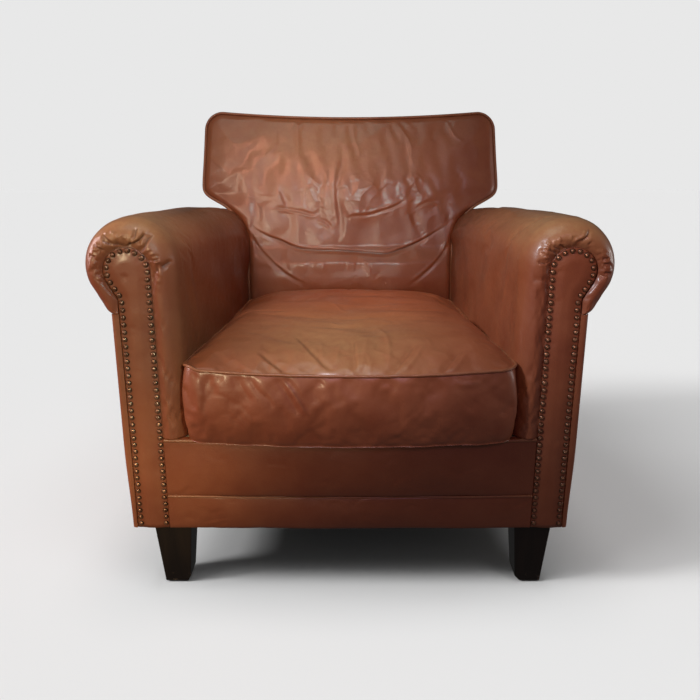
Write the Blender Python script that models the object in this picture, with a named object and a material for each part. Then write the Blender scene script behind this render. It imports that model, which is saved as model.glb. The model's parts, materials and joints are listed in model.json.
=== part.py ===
"""A worn roll-arm club chair: hardwood frame, springs, stuffed leather covers and feet.

Metres, +Z up. The chair faces -Y, the floor is z = 0 and the origin is the middle of its
footprint. Inside this file a place is given as
    u  distance from the chair's middle plane, measured at the front of the arms
    y  distance behind the front of the arms
    z  height
and the sides run in by SPLAY for each metre of y, because the chair narrows to the back.
"""
import math

import bmesh
import bpy
from mathutils import Vector

# ---- overall ----
FRONT_Y = -0.3904          # where the front of the arms lies in the chair's own frame
GAP = 0.0003               # between pieces that touch
SPLAY = 0.0636             # how far each side runs in, per metre of depth
BODY_BOTTOM = 0.130        # lower edge of the leather covers
FRAME_BOTTOM = 0.1338      # underside of the rails
RAIL_TOP = 0.285           # top of the seat rails
DECK_TOP = 0.2966          # what the seat cushion lies on

# ---- arms ----
PANEL_U = 0.380            # outer face of the outside arm
PANEL_INNER_U = 0.3708
PANEL_TOP = 0.5125         # where the roll tucks in over the outside arm
ARM_INNER_U = 0.275        # the arm's face beside the sitter
ROLL_U, ROLL_Z, ROLL_R = 0.350, 0.589, 0.075
ROLL_END_ANGLE = -22.5     # the roll's underside runs in to the panel from here
ROLL_STEPS = 27            # 7.5 degrees each, so that the roll's top and outermost line are met
ROLL_UNDER = ((0.4070, 0.5380), (0.3955, 0.5185), (0.3890, 0.5142))
PAD_FACE_LEVELS = (0.2969, 0.36, 0.43, 0.50, 0.55)    # heights on the padding's inner face
PAD_FRONT_ROUND = 0.029    # how round the padding is where it meets the facing
PAD_MIN_WALL = 0.0025      # what that rounding leaves of the padding's thinnest stretch
ARM_STATIONS = (0.17, 0.32, 0.47, 0.60)               # depths at which the arm's top bends
STEM_IN_U, STEM_OUT_U = 0.3155, 0.3705
HEAD_U, HEAD_Z, HEAD_R = 0.3522, 0.5823, 0.0383
HEAD_END_ANGLE = -30.0     # from here the head runs straight in to the stem
FACING_THICK = 0.012
CHANNEL_GAP = 0.0005       # between the facing's outline and the padding round it
CHANNEL_LOW_Z = 0.5240     # on the channel's outer side, under the neck
DROP_START = 0.05          # the arm's top falls towards the back from here
DROP_SLOPE, DROP_CURVE = 0.0351, 0.0774
DROP_FROM_Z, DROP_FULL_Z = 0.2975, 0.50

# ---- nail trim: one strip with the outline of the two joined rows ----
NAIL_IN_U, NAIL_OUT_U = 0.3205, 0.3645
NAIL_HEAD_R = 0.0328
NAIL_WIDE = 0.0095
NAIL_TALL = 0.0035
NAIL_BOTTOM = 0.134

# ---- back ----
REAR_Y = 0.680             # outside of the back at the covers' lower edge
RAKE = 0.194               # how far the outside back leans, per metre of height
OUTSIDE_THICK = 0.008
POST_THICK = 0.030
WEB_THICK = 0.003
FACE_Y, FACE_Z, FACE_RAKE = 0.562, 0.46, 0.27    # front of the back cushion
BACK_ROUND = 0.030         # round edge of the back cushion
# half widths of the back at heights; the ears spread out over the arms
BACK_OUTLINE = (
    (0.2970, 0.2390), (0.5000, 0.2390), (0.5300, 0.2390), (0.5470, 0.2390), (0.5600, 0.2420),
    (0.5720, 0.2465), (0.5840, 0.2508), (0.5950, 0.2557), (0.6120, 0.2740), (0.6270, 0.2946),
    (0.6370, 0.3170), (0.6490, 0.3400), (0.6620, 0.3465), (0.7300, 0.3425), (0.7950, 0.3395),
)
BACK_CORNER_R = 0.037
BACK_STEPS_IN = (0.0, 0.004, 0.014, 0.030)       # columns that round the cushion's edge
BACK_MIDDLE_SHARES = (0.55, 0.2)                 # and those across its middle
BACK_SIDE_GAP = 0.0024     # between the back cushion and the arms beside it
BACK_TOP = 0.832
SADDLE = 0.012             # the top edge hangs this much lower in its middle
SADDLE_FROM_Z = 0.70
BOXING_THICK = 0.005
NOTCH_FROM_Z = 0.59        # the boxing starts here, over the arm
SHOULDER = (0.2500, 0.5880)                      # where arm and back meet, seen from behind

# ---- seat cushion ----
# heights of the cushion's rings and how far each lies inside the widest one
SEAT_LEVELS = (
    (0.2969, 0.006), (0.3050, 0.000), (0.3650, 0.000), (0.4050, 0.001), (0.4180, 0.008),
    (0.4280, 0.030), (0.4390, 0.070), (0.4480, 0.130), (0.4520, 0.190),
)
SEAT_FRONT, SEAT_FRONT_BULGE, SEAT_REAR = -0.020, 0.016, 0.560
SEAT_SIDE_GAP = 0.0015
SEAT_CORNER_R, SEAT_MIN_CORNER_R = 0.030, 0.004
SEAT_FRONT_SHARES = (0.6, 0.2)                   # points along the bulging front edge

# ---- front covers ----
COVER_HALF = 0.3144
COVER_BACK = 0.0122
COVER_EDGE_BULGE = 0.35    # share of the bulge left at a cover's upper and lower edge
BAND_TOP = 0.1918
BAND_BULGE = 0.010
RAIL_COVER_TOP = 0.2964
RAIL_COVER_BULGE = 0.016

# ---- frame ----
POST_U = (0.3165, 0.3695)
FRONT_POST_Y = (0.0125, 0.0425)
FRONT_POST_TOP, STUMP_TOP = 0.572, 0.500
RAIL_U = (0.3350, 0.3610)
FRONT_RAIL_BACK = 0.0375
RAIL_END_U = 0.3162
ARM_RAIL_U, ARM_RAIL_Z = (0.325, 0.362), (0.535, 0.565)
BACK_POST_X = (0.188, 0.222)
TOP_RAIL_HALF, TOP_RAIL_Z = 0.318, (0.765, 0.797)
LOWER_RAIL_Z = (0.400, 0.435)
WING_FOOT_X, WING_LOW_Z, WING_HIGH_Z = 0.240, 0.612, 0.672
BLOCK_TOP = 0.190
BLOCK_U, BLOCK_IN_U, BLOCK_DEPTH = 0.3346, 0.2350, 0.090
WEB_HEIGHTS, WEB_HALF_WIDTH = (0.48, 0.58, 0.68), 0.025
DECK_FRONT_Y, DECK_SIDE_GAP = 0.0130, 0.0015
DUST_THICK = 0.0015
# half of the dust cover's outline, as (half width, y), cut away round the feet
DUST_OUTLINE = ((0.278, 0.013), (0.278, 0.090), (0.328, 0.090), (0.296, 0.590), (0.240, 0.590))
DUST_REAR_INSET = 0.002

# ---- feet ----
FOOT_U, FOOT_Y, FOOT_SHIFT = 0.320, 0.0535, 0.005   # both front feet sit 5 mm to the right
FOOT_TOP_W, FOOT_BOTTOM_W = 0.067, 0.045
FOOT_TOP_Z, GLIDE_H = 0.1335, 0.0025
REAR_FOOT_Y, REAR_FOOT_KICK = 0.628, 0.030
WORN_LEFT, WORN_RIGHT, WORN_HEIGHT = 0.0045, 0.0085, 0.013    # inner bottom corners, gone
BOLT_R, BOLT_HOLE_R = 0.0040, 0.0044
BOLT_BOTTOM, BOLT_TOP = 0.098, 0.178
GLIDE_R = 0.012

# ---- springs ----
SPRING_X = (-0.150, -0.075, 0.0, 0.075, 0.150)
SPRING_WIRE_R = 0.0018
SPRING_HALF_W = 0.025
SPRING_PITCH = 0.030
SPRING_FRONT_Y, SPRING_REAR_INSET = 0.017, 0.006

SIDES = (("left", -1), ("right", 1))


# ---- places -------------------------------------------------------------

def place(side, u, y, z):
    """A point on one side of the chair, with the sides' run-in."""
    return Vector((side * (u - SPLAY * y), FRONT_Y + y, z))


def middle(x, y, z):
    """A point on a piece that doesn't follow the sides."""
    return Vector((x, FRONT_Y + y, z))


def rear(z, inset=0.0):
    """y of the raked plane that lies inset in front of the outside back."""
    return REAR_Y + RAKE * (z - BODY_BOTTOM) - inset


def smooth_clamp(value):
    return min(1.0, max(0.0, value))


def arm_drop(y, z):
    """How far the arm has fallen at depth y; the part near the seat doesn't fall."""
    back = max(0.0, y - DROP_START)
    share = smooth_clamp((z - DROP_FROM_Z) / (DROP_FULL_Z - DROP_FROM_Z))
    return -share * (DROP_SLOPE * back + DROP_CURVE * back * back)


def rear_end(z, inset):
    """y where a piece of the arm that starts at height z meets the raked plane."""
    y = REAR_Y
    for _ in range(6):
        y = rear(z + arm_drop(y, z), inset)
    return y


POST_FRONT = OUTSIDE_THICK + GAP + POST_THICK      # insets from the outside back
POST_BACK = OUTSIDE_THICK + GAP
WEB_FRONT = POST_FRONT + GAP + WEB_THICK
CUSHION_BACK = WEB_FRONT + GAP


# ---- building -----------------------------------------------------------

def material(name, colour, roughness, metallic=0.0):
    made = bpy.data.materials.new(name)
    made.use_nodes = True
    shader = made.node_tree.nodes["Principled BSDF"]
    shader.inputs["Base Color"].default_value = (*colour, 1.0)
    shader.inputs["Roughness"].default_value = roughness
    shader.inputs["Metallic"].default_value = metallic
    made.diffuse_color = (*colour, 1.0)
    return made


def solid(name, points, faces, finish, smooth=False):
    """A closed mesh object with its faces turned outwards."""
    mesh = bpy.data.meshes.new(name)
    work = bmesh.new()
    corners = [work.verts.new(p) for p in points]
    for face in faces:
        work.faces.new([corners[i] for i in face])
    bmesh.ops.recalc_face_normals(work, faces=work.faces)
    work.to_mesh(mesh)
    work.free()
    mesh.materials.append(finish)
    if smooth:
        mesh.shade_smooth()
        mesh.set_sharp_from_angle(angle=math.radians(40))
    made = bpy.data.objects.new(name, mesh)
    bpy.context.scene.collection.objects.link(made)
    return made


def loft(name, rings, finish, smooth=False, ladder=False):
    """Rings of equal length joined in turn. With ladder, each ring's second half runs
    back along its first, and the ends are closed with rungs between the two."""
    count = len(rings[0])
    points = [p for ring in rings for p in ring]
    faces = []
    for r in range(len(rings) - 1):
        for i in range(count):
            j = (i + 1) % count
            faces.append((r * count + i, r * count + j, (r + 1) * count + j, (r + 1) * count + i))
    for start in (0, (len(rings) - 1) * count):
        if ladder:
            for i in range(count // 2 - 1):
                faces.append((start + i, start + i + 1, start + count - 2 - i, start + count - 1 - i))
        else:
            faces.append(tuple(start + i for i in range(count)))
    return solid(name, points, faces, finish, smooth)


def prism(name, outline, low, high, finish, smooth=False):
    """An outline of (a, b) pairs carried from low(a, b) to high(a, b)."""
    rings = [[low(a, b) for a, b in outline], [high(a, b) for a, b in outline]]
    return loft(name, rings, finish, smooth)


def board(name, side, u_span, y_span, z_span, finish):
    """A straight board on one side; a y may be a function of z where its end is raked."""
    def depth(y, z):
        return y(z) if callable(y) else y
    rings = []
    for z in z_span:
        rings.append([
            place(side, u_span[0], depth(y_span[0], z), z),
            place(side, u_span[1], depth(y_span[0], z), z),
            place(side, u_span[1], depth(y_span[1], z), z),
            place(side, u_span[0], depth(y_span[1], z), z),
        ])
    return bevelled(loft(name, rings, finish))


def rake_board(name, x_span, insets, z_span, finish):
    """A board that leans with the outside back."""
    rings = []
    for z in z_span:
        rings.append([
            middle(x_span[0], rear(z, insets[0]), z), middle(x_span[1], rear(z, insets[0]), z),
            middle(x_span[1], rear(z, insets[1]), z), middle(x_span[0], rear(z, insets[1]), z),
        ])
    return bevelled(loft(name, rings, finish))


def bevelled(target, width=0.0012):
    modifier = target.modifiers.new("eased_edges", "BEVEL")
    modifier.width = width
    modifier.segments = 1
    modifier.limit_method = "ANGLE"
    return target


def cut_hole(target, x, y, low, high, radius):
    """A round upright hole, cut with an exact Boolean."""
    outline = [(x + radius * math.cos(a), y + radius * math.sin(a)) for a in turn(12)]
    cutter = prism(target.name + "_cutter", outline,
                   lambda a, b: Vector((a, b, low)), lambda a, b: Vector((a, b, high)),
                   target.data.materials[0])
    cutter.hide_render = True
    cutter.display_type = "WIRE"
    modifier = target.modifiers.new("bolt_hole", "BOOLEAN")
    modifier.operation = "DIFFERENCE"
    modifier.solver = "EXACT"
    modifier.object = cutter


def turn(steps):
    return [2 * math.pi * i / steps for i in range(steps)]


def arc(centre_u, centre_z, radius, start, end, steps):
    """Points on an arc, angles in degrees from +u towards +z, both ends included."""
    points = []
    for i in range(steps + 1):
        angle = math.radians(start + (end - start) * i / steps)
        points.append((centre_u + radius * math.cos(angle), centre_z + radius * math.sin(angle)))
    return points


# ---- arms ---------------------------------------------------------------

def keyhole(radius, inner, outer, steps):
    """A stem with a round head, from its inner foot over the top to its outer foot. The head's
    outer side runs straight down to the stem."""
    start = 180 - math.degrees(math.acos(min(1.0, (HEAD_U - inner) / radius)))
    head = arc(HEAD_U, HEAD_Z, radius, start, HEAD_END_ANGLE, steps)
    last_u, last_z = head[-1]
    fall = (last_u - outer) / math.tan(math.radians(-HEAD_END_ANGLE))
    return [(inner, BODY_BOTTOM)] + head + [(outer, last_z - fall), (outer, BODY_BOTTOM)]


def facing_outline(grow=0.0, steps=16):
    return keyhole(HEAD_R + grow, STEM_IN_U - grow, STEM_OUT_U + grow, steps)


def arm_section():
    """Pairs of an outer point and the channel point behind it, round the padding."""
    channel = facing_outline(CHANNEL_GAP, ROLL_STEPS)
    inner_u, outer_u = channel[0][0], channel[-1][0]
    head, neck = channel[1:-2], channel[-2]
    pairs = [((ARM_INNER_U, z), (inner_u, z)) for z in PAD_FACE_LEVELS]
    roll = arc(ROLL_U, ROLL_Z, ROLL_R, 180, ROLL_END_ANGLE, ROLL_STEPS)
    pairs += list(zip(roll, head))
    half_way = ((head[-1][0] + neck[0]) / 2, (head[-1][1] + neck[1]) / 2)
    pairs += list(zip(ROLL_UNDER, (half_way, neck, (outer_u, CHANNEL_LOW_Z))))
    pairs.append(((PANEL_U, PANEL_TOP + GAP), (outer_u, PANEL_TOP + GAP)))
    return pairs


def padding_ring(side, inset, depth):
    """One ring of the padding; depth is y, or a function of z at the raked end."""
    outer, inner = [], []
    for (pu, pz), (qu, qz) in arm_section():
        thick = math.hypot(qu - pu, qz - pz)
        share = min(inset, thick - PAD_MIN_WALL) / thick if inset else 0.0
        au, az = pu + (qu - pu) * share, pz + (qz - pz) * share
        for target, u, z in ((outer, au, az), (inner, qu, qz)):
            y = depth(z) if callable(depth) else depth
            target.append(place(side, u, y, z + arm_drop(y, z)))
    return outer + inner[::-1]


def arm_padding(name, side, finish):
    rings = []
    for step in range(5):
        angle = math.radians(90 * step / 4)
        rings.append(padding_ring(side, PAD_FRONT_ROUND * (1 - math.sin(angle)),
                                  CHANNEL_GAP + PAD_FRONT_ROUND * (1 - math.cos(angle))))
    for y in ARM_STATIONS:
        rings.append(padding_ring(side, 0.0, y))
    rings.append(padding_ring(side, 0.0, lambda z: rear_end(z, POST_BACK)))
    return loft(name, rings, finish, smooth=True, ladder=True)


def arm_facing(name, side, finish):
    return prism(name, facing_outline(),
                 lambda u, z: place(side, u, 0.0, z),
                 lambda u, z: place(side, u, FACING_THICK, z), finish, smooth=True)


def nail_trim(name, side, finish):
    """Both nail rows as one low strip; each nail is a part of the finish."""
    half = NAIL_WIDE / 2

    def edge(offset):
        outline = keyhole(NAIL_HEAD_R + offset, NAIL_IN_U - offset, NAIL_OUT_U + offset, 16)
        return [(u, max(z, NAIL_BOTTOM)) for u, z in outline]

    rings = []
    for y in (-NAIL_TALL, -GAP):
        outer = [place(side, u, y, z) for u, z in edge(half)]
        inner = [place(side, u, y, z) for u, z in edge(-half)]
        rings.append(outer + inner[::-1])
    return loft(name, rings, finish, ladder=True)


def outside_arm(name, side, finish):
    """The flat leather panel on a backing board; its top edge falls with the arm."""
    rings = []
    for u in (PANEL_INNER_U, PANEL_U):
        depths = [0.0, *ARM_STATIONS]
        top = [place(side, u, y, PANEL_TOP + arm_drop(y, PANEL_TOP)) for y in depths]
        end = rear_end(PANEL_TOP, POST_BACK)
        top.append(place(side, u, end, PANEL_TOP + arm_drop(end, PANEL_TOP)))
        bottom = [place(side, u, y, BODY_BOTTOM) for y in depths]
        bottom.append(place(side, u, rear(BODY_BOTTOM, POST_BACK), BODY_BOTTOM))
        rings.append(top + bottom[::-1])
    return loft(name, rings, finish, ladder=True)


# ---- back ---------------------------------------------------------------

def saddle(x, z):
    """How far the back's top edge is lowered at x; nothing happens below the ears."""
    share = smooth_clamp((z - SADDLE_FROM_Z) / (BACK_TOP - SADDLE_FROM_Z))
    return -SADDLE * share * (1 - min(1.0, abs(x) / 0.30) ** 2)


def leaning(x, z, inset):
    """A point of the back's outline in a plane that leans with the outside back."""
    height = z + saddle(x, z)
    return middle(x, rear(height, inset), height)


def back_edge():
    """Half of the back's outline as (half width, height), from the seat to the top."""
    edge = [(w, z) for z, w in BACK_OUTLINE]
    centre_w = edge[-1][0] - BACK_CORNER_R
    centre_z = BACK_TOP - BACK_CORNER_R
    return edge[:-1] + arc(centre_w, centre_z, BACK_CORNER_R, 0, 90, 5)


def arm_limit(y, z):
    """Half width free between the arms at a depth and a height."""
    drop = arm_drop(y, ROLL_Z)
    above = max(0.0, z - ROLL_Z - drop)
    if above >= ROLL_R:
        return 1.0
    return ROLL_U - math.sqrt(ROLL_R ** 2 - above ** 2) - SPLAY * y


def cushion_face(z):
    return FACE_Y + FACE_RAKE * max(0.0, z - FACE_Z)


def back_cushion(name, finish):
    """A grid over the back's outline, front and rear, with a rounded front edge."""
    edge = back_edge()
    top_z = edge[-1][1]
    rows = [(w, z) for w, z in edge[:-1]]
    rows.append((edge[-2][0], top_z))
    front, back = [], []
    for w, z in rows:
        free_front = min(w, arm_limit(cushion_face(z) + BACK_ROUND, z) - BACK_SIDE_GAP)
        free_back = min(w, arm_limit(rear(z, CUSHION_BACK), z) - BACK_SIDE_GAP)
        for half, target in ((free_front, front), (free_back, back)):
            across = [half - s for s in BACK_STEPS_IN] + [half * s for s in BACK_MIDDLE_SHARES]
            across = across + [-x for x in reversed(across)]
            line = []
            for x in across:
                if target is back:
                    line.append(leaning(x, z, CUSHION_BACK))
                    continue
                height = z + saddle(x, z)
                from_edge = min(half - abs(x), top_z - z, z - rows[0][1] + BACK_ROUND * 0.5)
                near = smooth_clamp(1 - from_edge / BACK_ROUND)
                round_y = BACK_ROUND * (1 - math.sqrt(1 - near * near))
                line.append(middle(x, cushion_face(height) + round_y, height))
            target.append(line)
    wide = len(front[0])
    tall = len(front)
    points = [p for line in front for p in line] + [p for line in back for p in line]
    shift = wide * tall
    faces = []
    for r in range(tall - 1):
        for c in range(wide - 1):
            a = r * wide + c
            faces.append((a, a + 1, a + wide + 1, a + wide))
            faces.append((shift + a, shift + a + 1, shift + a + wide + 1, shift + a + wide))
        for c in (0, wide - 1):
            a = r * wide + c
            faces.append((a, a + wide, shift + a + wide, shift + a))
    for r in (0, tall - 1):
        for c in range(wide - 1):
            a = r * wide + c
            faces.append((a, a + 1, shift + a + 1, shift + a))
    return solid(name, points, faces, finish, smooth=True)


def notch_outline():
    """The outline from the notch over the arm, round the ear and to the middle of the top."""
    edge = [(w, z) for w, z in back_edge() if z > NOTCH_FROM_Z]
    half_top = edge[-1][0]
    return edge + [(half_top * share, BACK_TOP) for share in (0.6, 0.2)]


def back_boxing(name, finish):
    """The leather strip round the back's edge, over the ends of the frame."""
    half_path = notch_outline()
    path = half_path + [(-x, z) for x, z in reversed(half_path)]
    inner = []
    for i, (x, z) in enumerate(path):
        before = path[max(0, i - 1)]
        after = path[min(len(path) - 1, i + 1)]
        run = Vector((after[0] - before[0], after[1] - before[1])).normalized()
        inner.append((x - run.y * BOXING_THICK, z + run.x * BOXING_THICK))
    rings = []
    for inset in (CUSHION_BACK - GAP, POST_BACK):
        outer_line = [leaning(x, z, inset) for x, z in path]
        inner_line = [leaning(x, z, inset) for x, z in inner]
        rings.append(outer_line + inner_line[::-1])
    return loft(name, rings, finish, smooth=True, ladder=True)


def outside_back(name, finish):
    """One flat panel over the whole rear: body, arm rolls and the back above them."""
    half = [(PANEL_U - SPLAY * rear(BODY_BOTTOM), BODY_BOTTOM)]
    roll = [(PANEL_U, PANEL_TOP)] + list(reversed(ROLL_UNDER))
    roll += arc(ROLL_U, ROLL_Z, ROLL_R, ROLL_END_ANGLE, 120, 12)
    for u, z in roll:
        y = rear_end(z, 0.0)
        half.append((u - SPLAY * y, z + arm_drop(y, z)))
    half.append(SHOULDER)
    half += notch_outline()
    outline = half + [(-x, z) for x, z in reversed(half)]
    return prism(name, outline,
                 lambda x, z: leaning(x, z, OUTSIDE_THICK), lambda x, z: leaning(x, z, 0.0), finish)


# ---- seat ---------------------------------------------------------------

def seat_outline(inset):
    """The cushion seen from above: straight sides that run in, and a bulging front edge."""
    half_front = ARM_INNER_U - SEAT_SIDE_GAP - inset
    radius = max(SEAT_MIN_CORNER_R, SEAT_CORNER_R - inset)
    front = SEAT_FRONT + inset
    outline = []
    for x, y in arc(half_front - radius, front + radius, radius, 0, -90, 4):
        outline.append((x, y))
    for share in SEAT_FRONT_SHARES:
        x = (half_front - radius) * share
        outline.append((x, front - SEAT_FRONT_BULGE * (1 - share * share)))
    mirrored = [(-x, y) for x, y in reversed(outline)]
    rear_y = SEAT_REAR - inset
    return outline + mirrored + [(-half_front, rear_y), (half_front, rear_y)]


def seat_cushion(name, finish):
    rings = []
    for z, inset in SEAT_LEVELS:
        ring = []
        for x, y in seat_outline(inset):
            sign = 1 if x >= 0 else -1
            run_in = SPLAY * max(0.0, y) * min(1.0, abs(x) / 0.05)
            ring.append(middle(x - sign * run_in, y, z))
        rings.append(ring)
    return loft(name, rings, finish, smooth=True)


def front_cover(name, z_span, bulge, finish):
    """A leather panel between the facings; it bulges forwards in its middle."""
    shares = [step / 4 for step in range(4, -5, -1)]
    rings = []
    for level in range(5):
        share = level / 4
        z = z_span[0] + (z_span[1] - z_span[0]) * share
        belly = COVER_EDGE_BULGE + (1 - COVER_EDGE_BULGE) * math.sin(math.pi * share)
        front = [middle(COVER_HALF * s, -bulge * (1 - s * s) * belly, z) for s in shares]
        back = [middle(COVER_HALF * s, COVER_BACK, z) for s in shares]
        rings.append(front + back[::-1])
    return loft(name, rings, finish, smooth=True, ladder=True)


def seat_deck(name, finish):
    front, back = DECK_FRONT_Y, rear(RAIL_TOP, POST_FRONT) - GAP
    outline = []
    for side, y in ((-1, front), (1, front), (1, back), (-1, back)):
        outline.append((side * (STEM_IN_U - DECK_SIDE_GAP - SPLAY * y), y))
    return prism(name, outline,
                 lambda x, y: middle(x, y, RAIL_TOP + 3 * GAP + 2 * SPRING_WIRE_R),
                 lambda x, y: middle(x, y, DECK_TOP), finish)


def seat_spring(name, x, finish):
    """A sinuous spring: a wire laid in square waves with eased corners."""
    start, end = SPRING_FRONT_Y, rear(RAIL_TOP, POST_BACK) - SPRING_REAR_INSET
    waves = int((end - start) / SPRING_PITCH)
    curve = bpy.data.curves.new(name, "CURVE")
    curve.dimensions = "3D"
    curve.bevel_depth = SPRING_WIRE_R
    curve.bevel_resolution = 0
    curve.use_fill_caps = True
    curve.resolution_u = 1
    curve.render_resolution_u = 0
    ease = SPRING_PITCH * 0.25
    route = []
    for wave in range(waves):
        side = 1 if wave % 2 else -1
        y = start + wave * SPRING_PITCH
        edge = side * SPRING_HALF_W
        route.append((x + edge - side * ease, y))
        route.append((x + edge, y + SPRING_PITCH / 2))
        route.append((x + edge - side * ease, y + SPRING_PITCH))
    spline = curve.splines.new("POLY")
    spline.points.add(len(route) - 1)
    height = RAIL_TOP + GAP + SPRING_WIRE_R
    for point, (px, py) in zip(spline.points, route):
        point.co = (*middle(px, py, height), 1.0)
    curve.materials.append(finish)
    made = bpy.data.objects.new(name, curve)
    bpy.context.scene.collection.objects.link(made)
    return made


# ---- frame --------------------------------------------------------------

def hardwood_frame(wood, plywood):
    rail_z = (FRAME_BOTTOM, RAIL_TOP)

    def leaning_face(inset):
        return lambda z: rear(z, inset)

    for name, side in SIDES:
        board(name + "_front_post", side, POST_U, FRONT_POST_Y, (FRAME_BOTTOM, FRONT_POST_TOP), wood)
        board(name + "_rear_stump", side, POST_U, (leaning_face(POST_FRONT), leaning_face(POST_BACK)),
              (FRAME_BOTTOM, STUMP_TOP), wood)
        board(name + "_side_rail", side, RAIL_U,
              (FRONT_POST_Y[1] + GAP, leaning_face(POST_FRONT + GAP)), rail_z, wood)
        arm_rail(name + "_arm_rail", side, wood)
        wing_block(name + "_wing_block", side, plywood)
        rake_board(name + "_back_post", sorted(side * x for x in BACK_POST_X), (POST_FRONT, POST_BACK),
                   (RAIL_TOP + GAP, TOP_RAIL_Z[0] - GAP), wood)
    cross_rail("front_rail", lambda z: FRONT_POST_Y[0], lambda z: FRONT_RAIL_BACK, rail_z, wood)
    cross_rail("back_rail", leaning_face(POST_FRONT), leaning_face(POST_BACK), rail_z, wood)
    lower_half = BACK_POST_X[0] - GAP
    rake_board("back_top_rail", (-TOP_RAIL_HALF, TOP_RAIL_HALF), (POST_FRONT, POST_BACK), TOP_RAIL_Z, wood)
    rake_board("back_lower_rail", (-lower_half, lower_half), (POST_FRONT, POST_BACK), LOWER_RAIL_Z, wood)


def cross_rail(name, front, back, z_span, finish):
    """A seat rail from side to side; its ends follow the posts' inner faces."""
    rings = []
    for z in z_span:
        rings.append([place(-1, RAIL_END_U, front(z), z), place(1, RAIL_END_U, front(z), z),
                      place(1, RAIL_END_U, back(z), z), place(-1, RAIL_END_U, back(z), z)])
    return bevelled(loft(name, rings, finish))


def arm_rail(name, side, finish):
    """The rail inside the roll, from the front post down to the rear stump."""
    inner, outer = ARM_RAIL_U
    low, high = ARM_RAIL_Z
    start = FRONT_POST_Y[1] + GAP
    rings = []
    for step in range(5):
        ring = []
        for u, z in ((inner, low), (outer, low), (outer, high), (inner, high)):
            y = start + (rear_end(z, POST_FRONT + GAP) - start) * step / 4
            ring.append(place(side, u, y, z + arm_drop(y, z)))
        rings.append(ring)
    return loft(name, rings, finish)


def wing_block(name, side, finish):
    """A plywood piece outside each back post that carries the ear over the arm."""
    inner, outer, top = BACK_POST_X[1] + GAP, TOP_RAIL_HALF, TOP_RAIL_Z[0] - GAP
    outline = ((inner, WING_LOW_Z), (WING_FOOT_X, WING_LOW_Z), (outer, WING_HIGH_Z),
               (outer, top), (inner, top))
    return prism(name, outline,
                 lambda x, z: middle(side * x, rear(z, POST_FRONT), z),
                 lambda x, z: middle(side * x, rear(z, POST_BACK), z), finish)


def corner_block(name, side, outline, finish):
    return prism(name, outline,
                 lambda u, y: place(side, u, y, FRAME_BOTTOM),
                 lambda u, y: place(side, u, y, BLOCK_TOP), finish)


# ---- feet ---------------------------------------------------------------

def foot(name, x, y, kick, worn, worn_side, finish):
    """A square tapered foot. kick moves its sole back, and worn is how much of the inner
    bottom corner has gone."""
    sole = GLIDE_H + GAP
    rings = []
    for z, lost in ((sole, worn), ((sole + WORN_HEIGHT) / 2, worn * 0.5), (WORN_HEIGHT, 0.0),
                    (FOOT_TOP_Z, 0.0)):
        share = z / FOOT_TOP_Z
        half = (FOOT_BOTTOM_W + (FOOT_TOP_W - FOOT_BOTTOM_W) * share) / 2
        centre_y = y + kick * (1 - share)
        ring = []
        for sx, sy in ((-1, -1), (1, -1), (1, 1), (-1, 1)):
            cut = lost if sx == worn_side else 0.0
            ring.append(Vector((x + sx * (half - cut), FRONT_Y + centre_y + sy * half, z)))
        rings.append(ring)
    made = loft(name, rings, finish)
    eased = bevelled(made, 0.0018)
    eased.modifiers["eased_edges"].segments = 2
    return eased


def disc(name, x, y, radius, low, high, steps, finish):
    outline = [(x + radius * math.cos(a), y + radius * math.sin(a)) for a in turn(steps)]
    return prism(name, outline,
                 lambda a, b: Vector((a, b, low)), lambda a, b: Vector((a, b, high)), finish, smooth=True)


def feet_and_corners(dark_wood, wood, steel, nylon):
    rail_back = FRONT_RAIL_BACK + GAP
    post_back = FRONT_POST_Y[1] + GAP
    stump_front = rear(FRAME_BOTTOM, POST_FRONT) - GAP
    front_block = ((BLOCK_U, post_back), (RAIL_END_U, post_back), (RAIL_END_U, rail_back),
                   (BLOCK_IN_U, rail_back), (BLOCK_U, rail_back + BLOCK_DEPTH))
    rear_block = ((BLOCK_U, stump_front), (BLOCK_IN_U, stump_front), (BLOCK_U, stump_front - BLOCK_DEPTH))
    for name, side in SIDES:
        front_x = side * FOOT_U + FOOT_SHIFT
        rear_x = side * (FOOT_U - SPLAY * REAR_FOOT_Y)
        worn = WORN_RIGHT if side > 0 else WORN_LEFT
        for end, x, y, kick, block_outline, loss in (
                ("front", front_x, FOOT_Y, 0.0, front_block, worn),
                ("rear", rear_x, REAR_FOOT_Y, REAR_FOOT_KICK, rear_block, 0.0)):
            at_y = FRONT_Y + y
            block = corner_block(f"{name}_{end}_corner_block", side, block_outline, wood)
            made = foot(f"{name}_{end}_foot", x, y, kick, loss, -side, dark_wood)
            cut_hole(block, x, at_y, FRAME_BOTTOM - BOLT_R, BLOCK_TOP + BOLT_R, BOLT_HOLE_R)
            cut_hole(made, x, at_y, BOLT_BOTTOM - GAP, FOOT_TOP_Z + BOLT_R, BOLT_HOLE_R)
            disc(f"{name}_{end}_foot_bolt", x, at_y, BOLT_R, BOLT_BOTTOM, BOLT_TOP, 10, steel)
            disc(f"{name}_{end}_glide", x + side * loss / 2, at_y + kick, GLIDE_R, 0.0, GLIDE_H, 16, nylon)


def dust_cover(name, finish):
    """A thin cloth under the rails, cut away round the feet."""
    high = FRAME_BOTTOM - GAP
    low = high - DUST_THICK
    half = [*DUST_OUTLINE, (DUST_OUTLINE[-1][0], rear(high, POST_BACK) - DUST_REAR_INSET)]
    outline = half + [(-x, y) for x, y in reversed(half)]
    return prism(name, outline, lambda x, y: middle(x, y, low), lambda x, y: middle(x, y, high), finish)


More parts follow.
